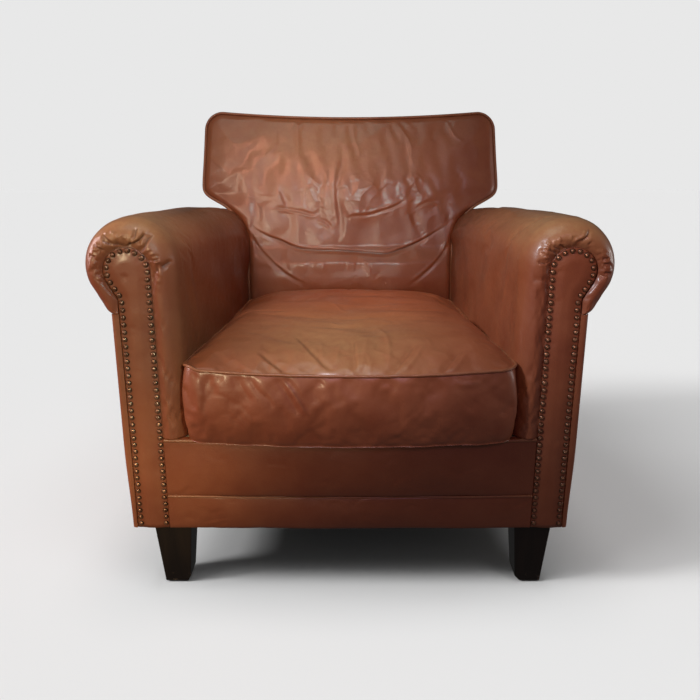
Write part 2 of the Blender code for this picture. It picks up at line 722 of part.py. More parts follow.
def main():
    for old in list(bpy.data.objects):
        bpy.data.objects.remove(old, do_unlink=True)

    leather = material("brown_leather", (0.30, 0.10, 0.05), 0.42)
    worn_leather = material("worn_leather", (0.36, 0.15, 0.09), 0.45)
    wood = material("beech", (0.55, 0.38, 0.22), 0.60)
    plywood = material("plywood", (0.60, 0.45, 0.28), 0.65)
    dark_wood = material("dark_stained_wood", (0.018, 0.012, 0.009), 0.40)
    brass = material("aged_brass", (0.22, 0.13, 0.06), 0.40, 0.9)
    steel = material("spring_steel", (0.45, 0.45, 0.45), 0.40, 0.9)
    nylon = material("nylon", (0.75, 0.73, 0.68), 0.50)
    webbing = material("elastic_webbing", (0.10, 0.09, 0.08), 0.85)
    burlap = material("burlap", (0.45, 0.36, 0.22), 0.90)
    cloth = material("dust_cloth", (0.03, 0.03, 0.03), 0.90)

    hardwood_frame(wood, plywood)
    feet_and_corners(dark_wood, wood, steel, nylon)

    for index, x in enumerate(SPRING_X):
        seat_spring(f"seat_spring_{index + 1}", x, steel)
    seat_deck("seat_deck", burlap)
    half_web = BACK_POST_X[1]
    for index, z in enumerate(WEB_HEIGHTS):
        rake_board(f"back_web_{index + 1}", (-half_web, half_web), (WEB_FRONT, POST_FRONT + GAP),
                   (z - WEB_HALF_WIDTH, z + WEB_HALF_WIDTH), webbing)
    dust_cover("dust_cover", cloth)

    for name, side in SIDES:
        arm_padding(name + "_arm_pad", side, worn_leather)
        arm_facing(name + "_arm_facing", side, leather)
        nail_trim(name + "_nail_trim", side, brass)
        outside_arm(name + "_outside_arm", side, leather)
    seat_cushion("seat_cushion", worn_leather)
    back_cushion("back_cushion", worn_leather)
    back_boxing("back_boxing", leather)
    outside_back("outside_back", leather)
    front_cover("front_rail_cover", (BAND_TOP + 2 * GAP, RAIL_COVER_TOP), RAIL_COVER_BULGE, leather)
    front_cover("front_lower_band", (BODY_BOTTOM, BAND_TOP), BAND_BULGE, leather)


main()
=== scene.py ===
import json
import math

import bpy
import numpy as np
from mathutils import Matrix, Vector, noise


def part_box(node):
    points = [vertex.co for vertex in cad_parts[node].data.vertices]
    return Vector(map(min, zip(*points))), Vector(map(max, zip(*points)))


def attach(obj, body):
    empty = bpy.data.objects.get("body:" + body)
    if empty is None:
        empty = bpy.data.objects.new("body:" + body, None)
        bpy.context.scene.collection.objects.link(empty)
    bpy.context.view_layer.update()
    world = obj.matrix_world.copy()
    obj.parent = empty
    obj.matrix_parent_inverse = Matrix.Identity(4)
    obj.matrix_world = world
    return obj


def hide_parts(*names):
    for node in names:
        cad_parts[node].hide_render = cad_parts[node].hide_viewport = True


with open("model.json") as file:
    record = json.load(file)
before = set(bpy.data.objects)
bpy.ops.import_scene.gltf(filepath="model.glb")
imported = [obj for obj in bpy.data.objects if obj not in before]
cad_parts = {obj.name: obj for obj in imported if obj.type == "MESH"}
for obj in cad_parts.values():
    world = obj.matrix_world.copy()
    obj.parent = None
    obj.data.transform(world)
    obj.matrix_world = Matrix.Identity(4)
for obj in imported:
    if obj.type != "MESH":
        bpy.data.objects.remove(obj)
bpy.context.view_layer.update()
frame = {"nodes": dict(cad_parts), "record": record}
noise.seed_set(4)      # without it, noise_vector changes from run to run

# ---- places and sizes, in metres -----------------------------------------
# u is a distance from the middle plane measured at the front of the arms, y is
# counted backwards from there, z is the height. The sides run in by SPLAY.

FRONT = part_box("left_arm_facing")[0].y
BODY_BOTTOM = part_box("left_outside_arm")[0].z
PANEL_U = -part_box("left_outside_arm")[0].x
BAND_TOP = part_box("front_lower_band")[1].z
RAIL_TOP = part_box("front_rail_cover")[1].z
COVER_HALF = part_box("front_rail_cover")[1].x
SEAT_LOW, SEAT_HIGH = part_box("seat_cushion")
BACK_LOW, BACK_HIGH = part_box("back_cushion")
ROLL_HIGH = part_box("left_arm_pad")[1].z

SPLAY = 0.0636
ROLL_R = 0.075
ROLL_U, ROLL_Z = 0.350, ROLL_HIGH - ROLL_R
ARM_INNER_U = ROLL_U - ROLL_R
STEM_IN_U, STEM_OUT_U = 0.3155, 0.3705
HEAD_U, HEAD_Z, HEAD_R = 0.3522, ROLL_Z - 0.0067, 0.0383
HEAD_END_ANGLE = -30.0
DROP_START, DROP_SLOPE, DROP_CURVE = 0.05, 0.0351, 0.0774
DROP_FULL_Z = 0.50
OUTSIDE_THICK = 0.008
RAKE = 0.194
REAR_Y = 0.680
FACE_Y, FACE_Z, FACE_RAKE = 0.562, 0.46, 0.27
ARM_PANEL_TOP = 0.5125
BACK_CORNER_R = 0.037
SADDLE, SADDLE_FROM_Z = 0.012, 0.70
CUSHION_BACK = OUTSIDE_THICK + 0.030 + 0.003 + 0.0009
SIDES = (("left", -1), ("right", 1))


def place(side, u, y, z):
    return np.stack(np.broadcast_arrays(side * (u - SPLAY * y), FRONT + y, z), axis=-1)


def middle(x, y, z):
    return np.stack(np.broadcast_arrays(x, FRONT + y, z), axis=-1)


def rear(z, inset=0.0):
    return REAR_Y + RAKE * (z - BODY_BOTTOM) - inset


def arm_drop(y, z):
    back = np.maximum(0.0, y - DROP_START)
    share = np.clip((z - RAIL_TOP) / (DROP_FULL_Z - RAIL_TOP), 0, 1)
    return -share * (DROP_SLOPE * back + DROP_CURVE * back * back)


def rear_end(z, inset):
    y = np.full_like(z, REAR_Y)
    for _ in range(6):
        y = rear(z + arm_drop(y, z), inset)
    return y


# ---- mesh building --------------------------------------------------------

def smooth(t):
    t = np.clip(t, 0, 1)
    return t * t * (3 - 2 * t)


def resample(path, count, closed=False):
    """count points at equal distances along a polyline."""
    path = np.asarray(path, float)
    if closed:
        path = np.vstack([path, path[:1]])
    run = np.r_[0, np.cumsum(np.linalg.norm(np.diff(path, axis=0), axis=1))]
    at = np.linspace(0, run[-1], count + 1)[:-1] if closed else np.linspace(0, run[-1], count)
    return np.stack([np.interp(at, run, column) for column in path.T], axis=-1)


def rounded(path, times=3):
    """A polyline with its corners cut, again and again; the ends stay."""
    path = np.asarray(path, float)
    for _ in range(times):
        low = 0.75 * path[:-1] + 0.25 * path[1:]
        high = 0.25 * path[:-1] + 0.75 * path[1:]
        path = np.vstack([path[:1], np.stack([low, high], 1).reshape(-1, path.shape[1]), path[-1:]])
    return path


def arc(centre_u, centre_z, radius, start, end, steps):
    a = np.radians(np.linspace(start, end, steps + 1))
    return np.stack([centre_u + radius * np.cos(a), centre_z + radius * np.sin(a)], axis=-1)


def rows(first, down, across):
    """Quads over a grid of down x across points that starts at index first."""
    i = first + np.arange(down - 1)[:, None] * across + np.arange(across - 1)[None, :]
    return np.stack([i, i + 1, i + across + 1, i + across], axis=-1).reshape(-1, 4).tolist()


def distance_to(path, at):
    """Distance of places to a polyline."""
    best = np.full(len(at), 1e9)
    for a, b in zip(path[:-1], path[1:]):
        step = b - a
        t = np.clip(((at - a) @ step) / max(1e-12, step @ step), 0, 1)
        away = at - (a + t[:, None] * step)
        best = np.minimum(best, np.hypot(away[:, 0], away[:, 1]))
    return best


def border(down, across):
    """Indices round the edge of a grid."""
    top = np.arange(across)
    right = np.arange(1, down) * across + across - 1
    bottom = (down - 1) * across + np.arange(across - 2, -1, -1)
    left = np.arange(down - 2, 0, -1) * across
    return np.concatenate([top, right, bottom, left])


def between(loop_a, loop_b, closed=True):
    """Quads between two loops of indices."""
    a, b = np.asarray(loop_a), np.asarray(loop_b)
    faces = np.stack([a, b, np.roll(b, -1), np.roll(a, -1)], axis=-1)
    return (faces if closed else faces[:-1]).tolist()


def capped(grid, rings):
    """A closed form: a grid, the rings that carry on from its edge, and a flat face over the last."""
    down, across = grid.shape[:2]
    points = [grid.reshape(-1, 3)]
    faces = rows(0, down, across)
    last = border(down, across)
    count = down * across
    for ring in rings:
        points.append(ring)
        here = count + np.arange(len(ring))
        faces += between(last, here)
        last = here
        count += len(ring)
    faces.append(last.tolist())
    points = np.vstack(points)
    return points, outward(points, faces)


def tube(path, radius, sides=10, closed=False):
    """A round tube along a path. Returns points and faces."""
    path = np.asarray(path, float)
    ahead = np.roll(path, -1, 0) - np.roll(path, 1, 0)
    if not closed:
        ahead[0], ahead[-1] = path[1] - path[0], path[-1] - path[-2]
    ahead /= np.linalg.norm(ahead, axis=1, keepdims=True)
    normal = np.zeros_like(path)
    current = np.array([0.0, 0.0, 1.0]) if abs(ahead[0][2]) < 0.9 else np.array([0.0, 1.0, 0.0])
    for i, t in enumerate(ahead):
        current = current - t * np.dot(current, t)
        current = current / np.linalg.norm(current)
        normal[i] = current
    side = np.cross(ahead, normal)
    a = np.linspace(0, 2 * np.pi, sides, endpoint=False)[None, :, None]
    ring = path[:, None] + radius * (np.cos(a) * normal[:, None] + np.sin(a) * side[:, None])
    count = len(path)
    index = np.arange(count * sides).reshape(count, sides)
    faces = []
    for r in range(count if closed else count - 1):
        faces += between(index[r], index[(r + 1) % count])
    if not closed:
        faces.append(index[0][::-1].tolist())
        faces.append(index[-1].tolist())
    return ring.reshape(-1, 3), faces


def joined(parts):
    """Several (points, faces) pairs as one."""
    points, faces, count = [], [], 0
    for p, f in parts:
        points.append(p)
        faces += [[i + count for i in face] for face in f]
        count += len(p)
    return np.vstack(points), faces


def make_mesh(name, points, faces):
    mesh = bpy.data.meshes.new(name)
    mesh.from_pydata(np.asarray(points).tolist(), [], faces)
    mesh.validate()
    mesh.update()
    return mesh


def normals_of(points, faces):
    mesh = make_mesh("measure", points, faces)
    found = np.zeros(len(points) * 3, np.float32)
    mesh.vertex_normals.foreach_get("vector", found)
    bpy.data.meshes.remove(mesh)
    return found.reshape(-1, 3).astype(float)


def outward(points, faces):
    """Faces turned so that the closed form's volume is positive."""
    some = faces[:: max(1, len(faces) // 4000)]
    a, b, c = (points[[face[k] for face in some]] - points.mean(0) for k in range(3))
    volume = np.sum(a * np.cross(b, c))
    return faces if volume > 0 else [face[::-1] for face in faces]


def filled(values, count):
    """One value for each of count points, from a number or an array that lacks its last zeros."""
    values = np.asarray(values, float)
    if values.ndim == 0:
        return np.full(count, values)
    return np.r_[values, np.zeros(count - len(values))]


def pushed_out(points, faces, height):
    """Points moved along their normals."""
    return points + normals_of(points, faces) * filled(height, len(points))[:, None]


def raised(grid, height):
    """A grid with its points moved along its normals, which point to the viewer's side of it."""
    faces = rows(0, *grid.shape[:2])
    return pushed_out(grid.reshape(-1, 3), faces, height).reshape(grid.shape)


def outside(loop):
    """Directions away from a loop that runs round anticlockwise, in its first two coordinates."""
    way = np.roll(loop[:, :2], -1, 0) - np.roll(loop[:, :2], 1, 0)
    out = np.stack([way[:, 1], -way[:, 0]], axis=-1)
    return out / np.linalg.norm(out, axis=1, keepdims=True)


def mirrored(path):
    return path * np.array([-1, 1])


def piece(name, replaced, points, faces, finish, sharp=None, **marks):
    """A finished piece that stands for CAD nodes and rides on the body. Its marks are numbers
    that the finish reads at each point."""
    material, slot = finish
    mesh = make_mesh(name, points, faces)
    mesh.shade_smooth()
    if sharp:
        mesh.set_sharp_from_angle(angle=math.radians(sharp))
    for mark, values in marks.items():
        layer = mesh.attributes.new(mark, "FLOAT", "POINT")
        layer.data.foreach_set("value", filled(values, len(points)).astype(np.float32))
    mesh.materials.append(material)
    made = bpy.data.objects.new(name, mesh)
    bpy.context.scene.collection.objects.link(made)
    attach(made, "root")
    if replaced:
        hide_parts(*replaced)
    return made


def piping(name, path, finish, radius, closed=False, sides=10):
    """A leather-covered cord sewn in a seam."""
    points, faces = tube(path, radius, sides, closed)
    return piece(name, None, points, outward(points, faces), finish, crease=0.0, rub=0.25)


# ---- creases --------------------------------------------------------------

def crease_field(at, strokes):
    """Height that creases give to points with chart places at (n, 2), and the painted shade laid along their
    valleys.

    A stroke is (points, depth, width, lip): a valley of that depth and half width with a broad
    shallow trough round it, and one side, the left of its run if lip is positive, that stands
    higher than the other. A negative depth makes the stroke a ridge."""
    height = np.zeros(len(at))
    dark = np.zeros(len(at))
    for points, depth, width, lip in strokes:
        path = rounded(points)
        reach = 7 * width
        near = np.all((at > path.min(0) - reach) & (at < path.max(0) + reach), axis=1)
        if not near.any():
            continue
        p = at[near]
        best = np.full(len(p), 1e9)
        offset = np.zeros(len(p))
        along = np.zeros(len(p))
        lengths = np.linalg.norm(np.diff(path, axis=0), axis=1)
        run = np.r_[0, np.cumsum(lengths)]
        for i in range(len(path) - 1):
            step = path[i + 1] - path[i]
            t = np.clip(((p - path[i]) @ step) / max(1e-12, step @ step), 0, 1)
            away = p - (path[i] + t[:, None] * step)
            distance = np.hypot(away[:, 0], away[:, 1])
            closer = distance < best
            best = np.where(closer, distance, best)
            turn = step[0] * away[:, 1] - step[1] * away[:, 0]
            offset = np.where(closer, np.sign(turn) * distance, offset)
            along = np.where(closer, (run[i] + t * lengths[i]) / run[-1], along)
        taper = smooth(along / 0.25) * smooth((1 - along) / 0.25)
        narrow = np.exp(-((best / width) ** 2))
        broad = np.exp(-((best / (3.0 * width)) ** 2))
        step_up = offset / width * np.exp(0.5 - 0.5 * (best / (1.5 * width)) ** 2) / 1.5
        height[near] += taper * (lip * step_up - depth * (0.72 * narrow + 0.28 * broad))
        # painted shade along the valley of a crease, stronger the deeper and narrower it is; ridges get none
        if depth > 0:
            strength = min(1.0, max(0.0, 1.25 * depth / width - 0.45))
            dark[near] = np.maximum(dark[near], taper * strength * np.exp(-((best / (0.7 * width)) ** 2)))
    return height, dark


def scattered(rng, count, low, high, angle, spread, length, depth, width):
    """Random short creases in a rectangle of the chart, mostly at one angle."""
    strokes = []
    for _ in range(count):
        start = rng.uniform(low, high)
        turn = math.radians(rng.normal(angle, spread))
        reach = rng.uniform(0.4, 1.0) * length
        bend = rng.normal(0, 0.18) * reach
        ahead = np.array([math.cos(turn), math.sin(turn)])
        aside = np.array([-ahead[1], ahead[0]])
        points = [start - ahead * reach / 2, start + aside * bend, start + ahead * reach / 2]
        deep = rng.uniform(0.3, 1.0) * depth
        strokes.append((points, deep, width * rng.uniform(0.7, 1.3), deep * rng.uniform(-0.8, 0.8)))
    return strokes


def waves(at, rng, size, height, count=14):
    """Soft random unevenness: a sum of slow waves about size long."""
    total = np.zeros(len(at))
    for _ in range(count):
        turn = rng.uniform(0, 2 * math.pi)
        number = 2 * math.pi / (size * rng.uniform(0.7, 1.8))
        phase = rng.uniform(0, 2 * math.pi)
        total += np.sin(number * (at[:, 0] * math.cos(turn) + at[:, 1] * math.sin(turn)) + phase)
    return height * total / math.sqrt(count)


def crumple(at, size, seed, thin=0.10):
    """Thin irregular creases between facets of about this size, 0 to 1, faded in and out."""
    found = np.zeros(len(at))
    for i, (x, y) in enumerate((at / size).tolist()):
        bend = noise.noise_vector((x * 0.9 + seed, y * 0.9, seed))
        spot = Vector((x + 0.55 * bend[0], y + 0.55 * bend[1], seed))
        near = noise.voronoi(spot)[0]
        shown = noise.noise((x * 0.6, y * 0.6, seed + 7.7))
        found[i] = math.exp(-(near[1] - near[0]) / thin) * min(1.0, max(0.0, 0.5 + 1.6 * shown))
    return found


def spread(count):
    """Weights that carry values at every third of some places to all of them, along a smooth curve."""
    at = np.arange(3 * (count - 1) + 1) / 3.0
    low = np.minimum(at.astype(int), count - 2)
    t = at - low
    table = np.zeros((len(at), count))
    weights = (-0.5 * t + t ** 2 - 0.5 * t ** 3, 1 - 2.5 * t ** 2 + 1.5 * t ** 3,
               0.5 * t + 2 * t ** 2 - 1.5 * t ** 3, -0.5 * t ** 2 + 0.5 * t ** 3)
    for step, weight in zip((-1, 0, 1, 2), weights):
        np.add.at(table, (np.arange(len(at)), np.clip(low + step, 0, count - 1)), weight)
    return table


def settled(grid, firm, spare, bending, most):
    """How far each point of a grid moves when its leather, a little too big for the stuffing,
    settles. The edge is sewn down; the stuffing holds the rest by weak springs."""
    coarse = grid[::3, ::3]
    down, across = coarse.shape[:2]
    start = coarse.reshape(-1, 3)
    mesh = make_mesh("settling", start, rows(0, down, across))
    cover = bpy.data.objects.new("settling", mesh)
    scene = bpy.context.scene
    scene.collection.objects.link(cover)
    held = cover.vertex_groups.new(name="held")
    edge = set(border(down, across).tolist())
    held.add(list(edge), 1.0, "REPLACE")
    held.add([i for i in range(len(start)) if i not in edge], firm, "REPLACE")
    cloth = cover.modifiers.new("cloth", "CLOTH")
    cloth.settings.quality = 6
    cloth.settings.mass = 0.35
    cloth.settings.tension_stiffness = 30
    cloth.settings.compression_stiffness = 30
    cloth.settings.shear_stiffness = 12
    cloth.settings.bending_stiffness = bending
    cloth.settings.vertex_group_mass = "held"
    cloth.settings.shrink_min = -spare
    cloth.settings.effector_weights.gravity = 0
    cloth.collision_settings.use_collision = False
    for step in range(1, 21):
        scene.frame_set(step)
    result = cover.evaluated_get(bpy.context.evaluated_depsgraph_get()).to_mesh()
    ends = np.zeros(len(start) * 3, np.float32)
    result.vertices.foreach_get("co", ends)
    scene.frame_set(1)
    bpy.data.objects.remove(cover)
    bpy.data.meshes.remove(mesh)
    moved = ends.reshape(-1, 3) - start
    length = np.linalg.norm(moved, axis=1, keepdims=True)
    moved *= np.minimum(1.0, most / np.maximum(length, 1e-9))
    moved = moved.reshape(down, across, 3)
    return np.einsum("ia,jb,abk->ijk", spread(down), spread(across), moved, optimize=True)


# ---- materials ------------------------------------------------------------

class Nodes:
    """A material's node tree, with short ways to add to it."""

    def __init__(self, name):
        self.material = bpy.data.materials.new(name)
        self.material.use_nodes = True
        self.tree = self.material.node_tree
        self.shader = self.tree.nodes["Principled BSDF"]
        self.place = self.add("ShaderNodeTexCoord").outputs["Object"]

    def add(self, kind, **settings):
        node = self.tree.nodes.new(kind)
        for key, value in settings.items():
            setattr(node, key, value)
        return node

    def feed(self, socket, value):
        if isinstance(value, bpy.types.NodeSocket):
            self.tree.links.new(value, socket)
        else:
            socket.default_value = value

    def noise(self, scale, detail=3.0, rough=0.5, place=None):
        node = self.add("ShaderNodeTexNoise")
        self.feed(node.inputs["Vector"], place or self.place)
        node.inputs["Scale"].default_value = scale
        node.inputs["Detail"].default_value = detail
        node.inputs["Roughness"].default_value = rough
        return node.outputs["Fac"]

    def cells(self, scale):
        node = self.add("ShaderNodeTexVoronoi", feature="F1")
        self.feed(node.inputs["Vector"], self.place)
        node.inputs["Scale"].default_value = scale
        return node.outputs["Distance"]

    def fit(self, value, low, high, to_low=0.0, to_high=1.0):
        node = self.add("ShaderNodeMapRange")
        self.feed(node.inputs["Value"], value)
        for key, number in zip(("From Min", "From Max", "To Min", "To Max"), (low, high, to_low, to_high)):
            node.inputs[key].default_value = number
        return node.outputs["Result"]

    def math(self, kind, a, b=0.5):
        node = self.add("ShaderNodeMath", operation=kind)
        self.feed(node.inputs[0], a)
        self.feed(node.inputs[1], b)
        return node.outputs[0]

    def mix(self, share, a, b, blend="MIX"):
        node = self.add("ShaderNodeMix", data_type="RGBA", blend_type=blend)
        self.feed(node.inputs["Factor"], share)
        for socket, value in ((node.inputs[6], a), (node.inputs[7], b)):
            self.feed(socket, (*value, 1.0) if isinstance(value, tuple) else value)
        return node.outputs[2]

    def mark(self, name):
        return self.add("ShaderNodeAttribute", attribute_name=name).outputs["Fac"]

    def stretched(self, scale):
        node = self.add("ShaderNodeMapping")
        self.feed(node.inputs["Vector"], self.place)
        node.inputs["Scale"].default_value = scale
        return node.outputs["Vector"]

    def bump(self, height, distance, under=None):
        node = self.add("ShaderNodeBump")
        node.inputs["Distance"].default_value = distance
        node.inputs["Strength"].default_value = 1.0
        self.feed(node.inputs["Height"], height)
        if under is not None:
            self.feed(node.inputs["Normal"], under)
        return node.outputs["Normal"]

    def finish(self, colour, roughness, normal=None, metallic=0.0, **constants):
        self.feed(self.shader.inputs["Base Color"], colour)
        self.feed(self.shader.inputs["Roughness"], roughness)
        self.shader.inputs["Metallic"].default_value = metallic
        if normal is not None:
            self.feed(self.shader.inputs["Normal"], normal)
        for key, value in constants.items():
            self.shader.inputs[key.replace("_", " ")].default_value = value
        return self.material


# the paler colour of rubbed leather, and the colour of the painted shade laid in creases, seams and recesses
RUBBED, PAINTED_SHADE_COLOUR = (0.46, 0.235, 0.100), (0.055, 0.016, 0.008)


def leather(name, deep, mid, pale):
    """Worn aniline leather: mottled dye, painted shade in its creases, seams and round its nails, paler where
    it is rubbed.
    """
    n = Nodes(name)
    patches = n.fit(n.noise(3.2, 4.0, 0.55), 0.33, 0.67)
    fine = n.fit(n.noise(22.0, 6.0, 0.62), 0.30, 0.70)
    colour = n.mix(patches, deep, mid)
    colour = n.mix(n.math("MULTIPLY", fine, 0.45), colour, pale)
    rub = n.math("MULTIPLY", n.mark("rub"), n.fit(n.noise(60.0, 5.0, 0.7), 0.25, 0.62, 0.45, 1.0))
    colour = n.mix(rub, colour, RUBBED)
    # painted shade: darker where the mesh's mark says creases, seams and recesses lie
    dark = n.math("MULTIPLY", n.mark("crease"), 0.72)
    colour = n.mix(dark, colour, PAINTED_SHADE_COLOUR)
    smudge = n.fit(n.noise(9.0, 5.0, 0.6), 0.3, 0.7, 0.34, 0.52)
    roughness = n.math("ADD", smudge, n.fit(n.noise(140.0, 2.0, 0.5), 0.3, 0.7, -0.03, 0.05))
    pores = n.cells(520.0)
    tiny = n.noise(900.0, 2.0, 0.6)
    skin = n.math("ADD", pores, n.math("MULTIPLY", tiny, 0.8))
    normal = n.bump(n.noise(48.0, 4.0, 0.55), 0.0007)
    normal = n.bump(skin, 0.00012, under=normal)
    return n.finish(colour, roughness, normal, Coat_Weight=0.34, Coat_Roughness=0.20, Coat_IOR=1.45)


def wood(name, dark, pale, rough, ring=40.0, chipped=0.0):
    """Wood with upright grain, and with small pale chips below the height chipped."""
    n = Nodes(name)
    along = n.stretched((1.0, 1.0, 0.07))
    grain = n.fit(n.noise(ring, 6.0, 0.65, along), 0.3, 0.7)
    colour = n.mix(grain, dark, pale)
    if chipped:
        height = n.add("ShaderNodeSeparateXYZ")
        n.feed(height.inputs[0], n.place)
        low = n.fit(height.outputs["Z"], chipped, 0.6 * chipped)
        spots = n.fit(n.noise(170.0, 3.0, 0.6, n.stretched((1.0, 1.0, 0.5))), 0.61, 0.66)
        colour = n.mix(n.math("MULTIPLY", low, spots), colour, (0.20, 0.14, 0.09))
    normal = n.bump(n.noise(ring * 8, 3.0, 0.6, along), 0.0002)
    return n.finish(colour, rough, normal)


def woven(name, warp, weft, threads):
    n = Nodes(name)
    wave = [n.add("ShaderNodeTexWave", bands_direction=axis) for axis in ("X", "Y")]
    for node in wave:
        n.feed(node.inputs["Vector"], n.place)
        node.inputs["Scale"].default_value = threads
        node.inputs["Distortion"].default_value = 0.4
    both = n.math("MULTIPLY", wave[0].outputs["Fac"], wave[1].outputs["Fac"])
    colour = n.mix(n.fit(both, 0.0, 0.7), weft, warp)
    normal = n.bump(both, 0.0004)
    return n.finish(colour, 0.9, normal)


def metal(name, dark, bright, rough, spots=60.0, metallic=1.0):
    n = Nodes(name)
    age = n.fit(n.noise(spots, 5.0, 0.65), 0.35, 0.65)
    colour = n.mix(age, dark, bright)
    # darker at each nail's rim: tarnish there, and painted shade where the head meets the leather
    colour = n.mix(n.mark("tarnish"), colour, (0.008, 0.004, 0.003))
    roughness = n.fit(n.noise(spots * 2, 3.0, 0.5), 0.3, 0.7, rough - 0.08, rough + 0.10)
    normal = n.bump(n.noise(spots * 12, 2.0, 0.5), 0.00005)
    return n.finish(colour, roughness, normal, metallic=metallic)


def nylon(name):
    n = Nodes(name)
    colour = n.mix(n.fit(n.noise(90.0, 4.0, 0.6), 0.3, 0.7), (0.50, 0.47, 0.40), (0.62, 0.59, 0.52))
    return n.finish(colour, 0.5, n.bump(n.noise(600.0), 0.0001))


# finishes of the pieces made here: (material, slot)
CUSHION = (leather("cushion_leather", (0.24, 0.053, 0.021), (0.335, 0.088, 0.034), (0.40, 0.132, 0.058)),
           "cushion_leather")
BODY = (leather("body_leather", (0.20, 0.045, 0.018), (0.285, 0.073, 0.027), (0.335, 0.106, 0.045)),
        "body_leather")
BRASS = (metal("aged_brass", (0.22, 0.088, 0.042), (0.42, 0.195, 0.105), 0.30, metallic=0.6), "nail_brass")
DARK_WOOD = wood("dark_stained_wood", (0.010, 0.005, 0.003), (0.028, 0.015, 0.008), 0.45, chipped=0.022)


# ---- kinds of crease: (depth, half width, height of one side) ---------------

FOLD, TUCK = (0.0034, 0.0023, 0.0013), (0.0015, 0.0024, 0.0011)
STEP, SOFT = (0.0004, 0.0021, 0.0011), (0.0009, 0.0044, 0.0009)
RIDGE, SWELL = (-0.0010, 0.0024, 0.0), (-0.0012, 0.0090, 0.0)
STRONG_RIDGE, HOLLOW = (-0.0020, 0.0034, 0.0), (0.0007, 0.0070, 0.0)


def turned(kind):
    """The same crease with its high side on the other side."""
    return (kind[0], kind[1], -kind[2])


def kinds(creases):
    return [(points, *kind) for kind, points in creases]


# ---- seat cushion ---------------------------------------------------------

SEAT_SPAN = (-0.0205, 0.561)
SEAT_HALF = ARM_INNER_U - 0.0015
SEAT_CORNER, SEAT_REAR_CORNER = 0.038, 0.025
SEAT_BULGE = 0.016
SEAT_EDGE_Z = 0.4205
SEAT_TOP_Z = 0.4525
SEAT_NX, SEAT_NY = 190, 199


def seat_half(y):
    """Half width of the seat cushion at a depth."""
    return SEAT_HALF - SPLAY * np.maximum(0.0, y)


def seat_outline():
    """The cushion's outline from above, as four edges that meet in the rounded corners."""
    front_y, rear_y = SEAT_SPAN
    r, rear_r = SEAT_CORNER, SEAT_REAR_CORNER
    half_corner = arc(seat_half(0) - r, front_y + r, r, -45, 0, 8)
    side = np.vstack([half_corner, [[seat_half(y), y] for y in np.linspace(0.02, rear_y - 0.03, 12)]])
    rear_corner = arc(seat_half(rear_y) - rear_r, rear_y - rear_r, rear_r, 0, 90, 12)
    right = np.vstack([side, rear_corner[:7]])
    x = np.linspace(0, seat_half(0) - r, 14)
    share = x / (seat_half(0) - r)
    front_half = np.stack([x, front_y - SEAT_BULGE * (1 - share ** 2)], axis=-1)
    front_half = np.vstack([front_half, arc(seat_half(0) - r, front_y + r, r, -85, -45, 7)])
    front = np.vstack([mirrored(front_half[::-1]), front_half[1:]])
    back_half = np.vstack([rear_corner[6:], [[0.0, rear_y]]])
    back = np.vstack([mirrored(back_half), back_half[::-1][1:]])
    return front, right, back, mirrored(right)


def coons(front, right, back, left):
    """A grid of places inside four edges; front and back run to +x, the sides run to +y."""
    ny, nx = len(right), len(front)
    s = np.linspace(0, 1, nx)[None, :, None]
    t = np.linspace(0, 1, ny)[:, None, None]
    ruled_y = (1 - t) * front[None] + t * back[None]
    ruled_x = (1 - s) * left[:, None] + s * right[:, None]
    corner = ((1 - s) * (1 - t) * front[0] + s * (1 - t) * front[-1]
              + (1 - s) * t * back[0] + s * t * back[-1])
    return ruled_y + ruled_x - corner


SEAT_TOP_CREASES = [
    # fan of gathers behind the front edge
    (RIDGE, [(0.030, 0.075), (0.024, 0.010), (0.017, -0.034)]),
    (STRONG_RIDGE, [(0.046, 0.150), (0.063, 0.081), (0.066, 0.009), (0.060, -0.036)]),
    (TUCK, [(0.006, 0.060), (0.010, -0.034)]),
    (HOLLOW, [(0.046, 0.065), (0.044, -0.034)]),
    (STRONG_RIDGE, [(0.126, 0.040), (0.103, -0.008), (0.080, -0.034)]),
    (TUCK, [(0.112, 0.044), (0.090, -0.004), (0.066, -0.036)]),
    (STRONG_RIDGE, [(0.193, 0.020), (0.178, -0.010), (0.156, -0.032)]),
    (TUCK, [(0.182, 0.024), (0.166, -0.006), (0.142, -0.034)]),
    (RIDGE, [(0.131, 0.070), (0.136, 0.030)]),
    (turned(TUCK), [(-0.095, 0.080), (-0.068, 0.020), (-0.045, -0.018), (-0.022, -0.034)]),
    (RIDGE, [(-0.050, 0.062), (-0.043, -0.010)]),
    (turned(TUCK), [(-0.155, 0.020), (-0.130, -0.008), (-0.100, -0.033)]),
    (RIDGE, [(-0.016, 0.050), (-0.022, -0.020)]),
    (SWELL, [(-0.100, 0.030), (-0.078, -0.024)]),
    # cross creases where the sitter's weight has been
    (TUCK, [(-0.232, 0.255), (-0.196, 0.270), (-0.159, 0.272), (-0.120, 0.262)]),
    (HOLLOW, [(-0.195, 0.232), (-0.155, 0.240), (-0.118, 0.238)]),
    (HOLLOW, [(-0.188, 0.178), (-0.160, 0.177)]),
    (RIDGE, [(-0.038, 0.352), (-0.022, 0.310), (-0.010, 0.274)]),
    (RIDGE, [(-0.038, 0.178), (-0.024, 0.148)]),
    (RIDGE, [(0.180, 0.345), (0.205, 0.311), (0.235, 0.240)]),
    (HOLLOW, [(0.085, 0.274), (0.138, 0.268), (0.200, 0.274)]),
    (HOLLOW, [(0.091, 0.214), (0.133, 0.213), (0.182, 0.198)]),
]

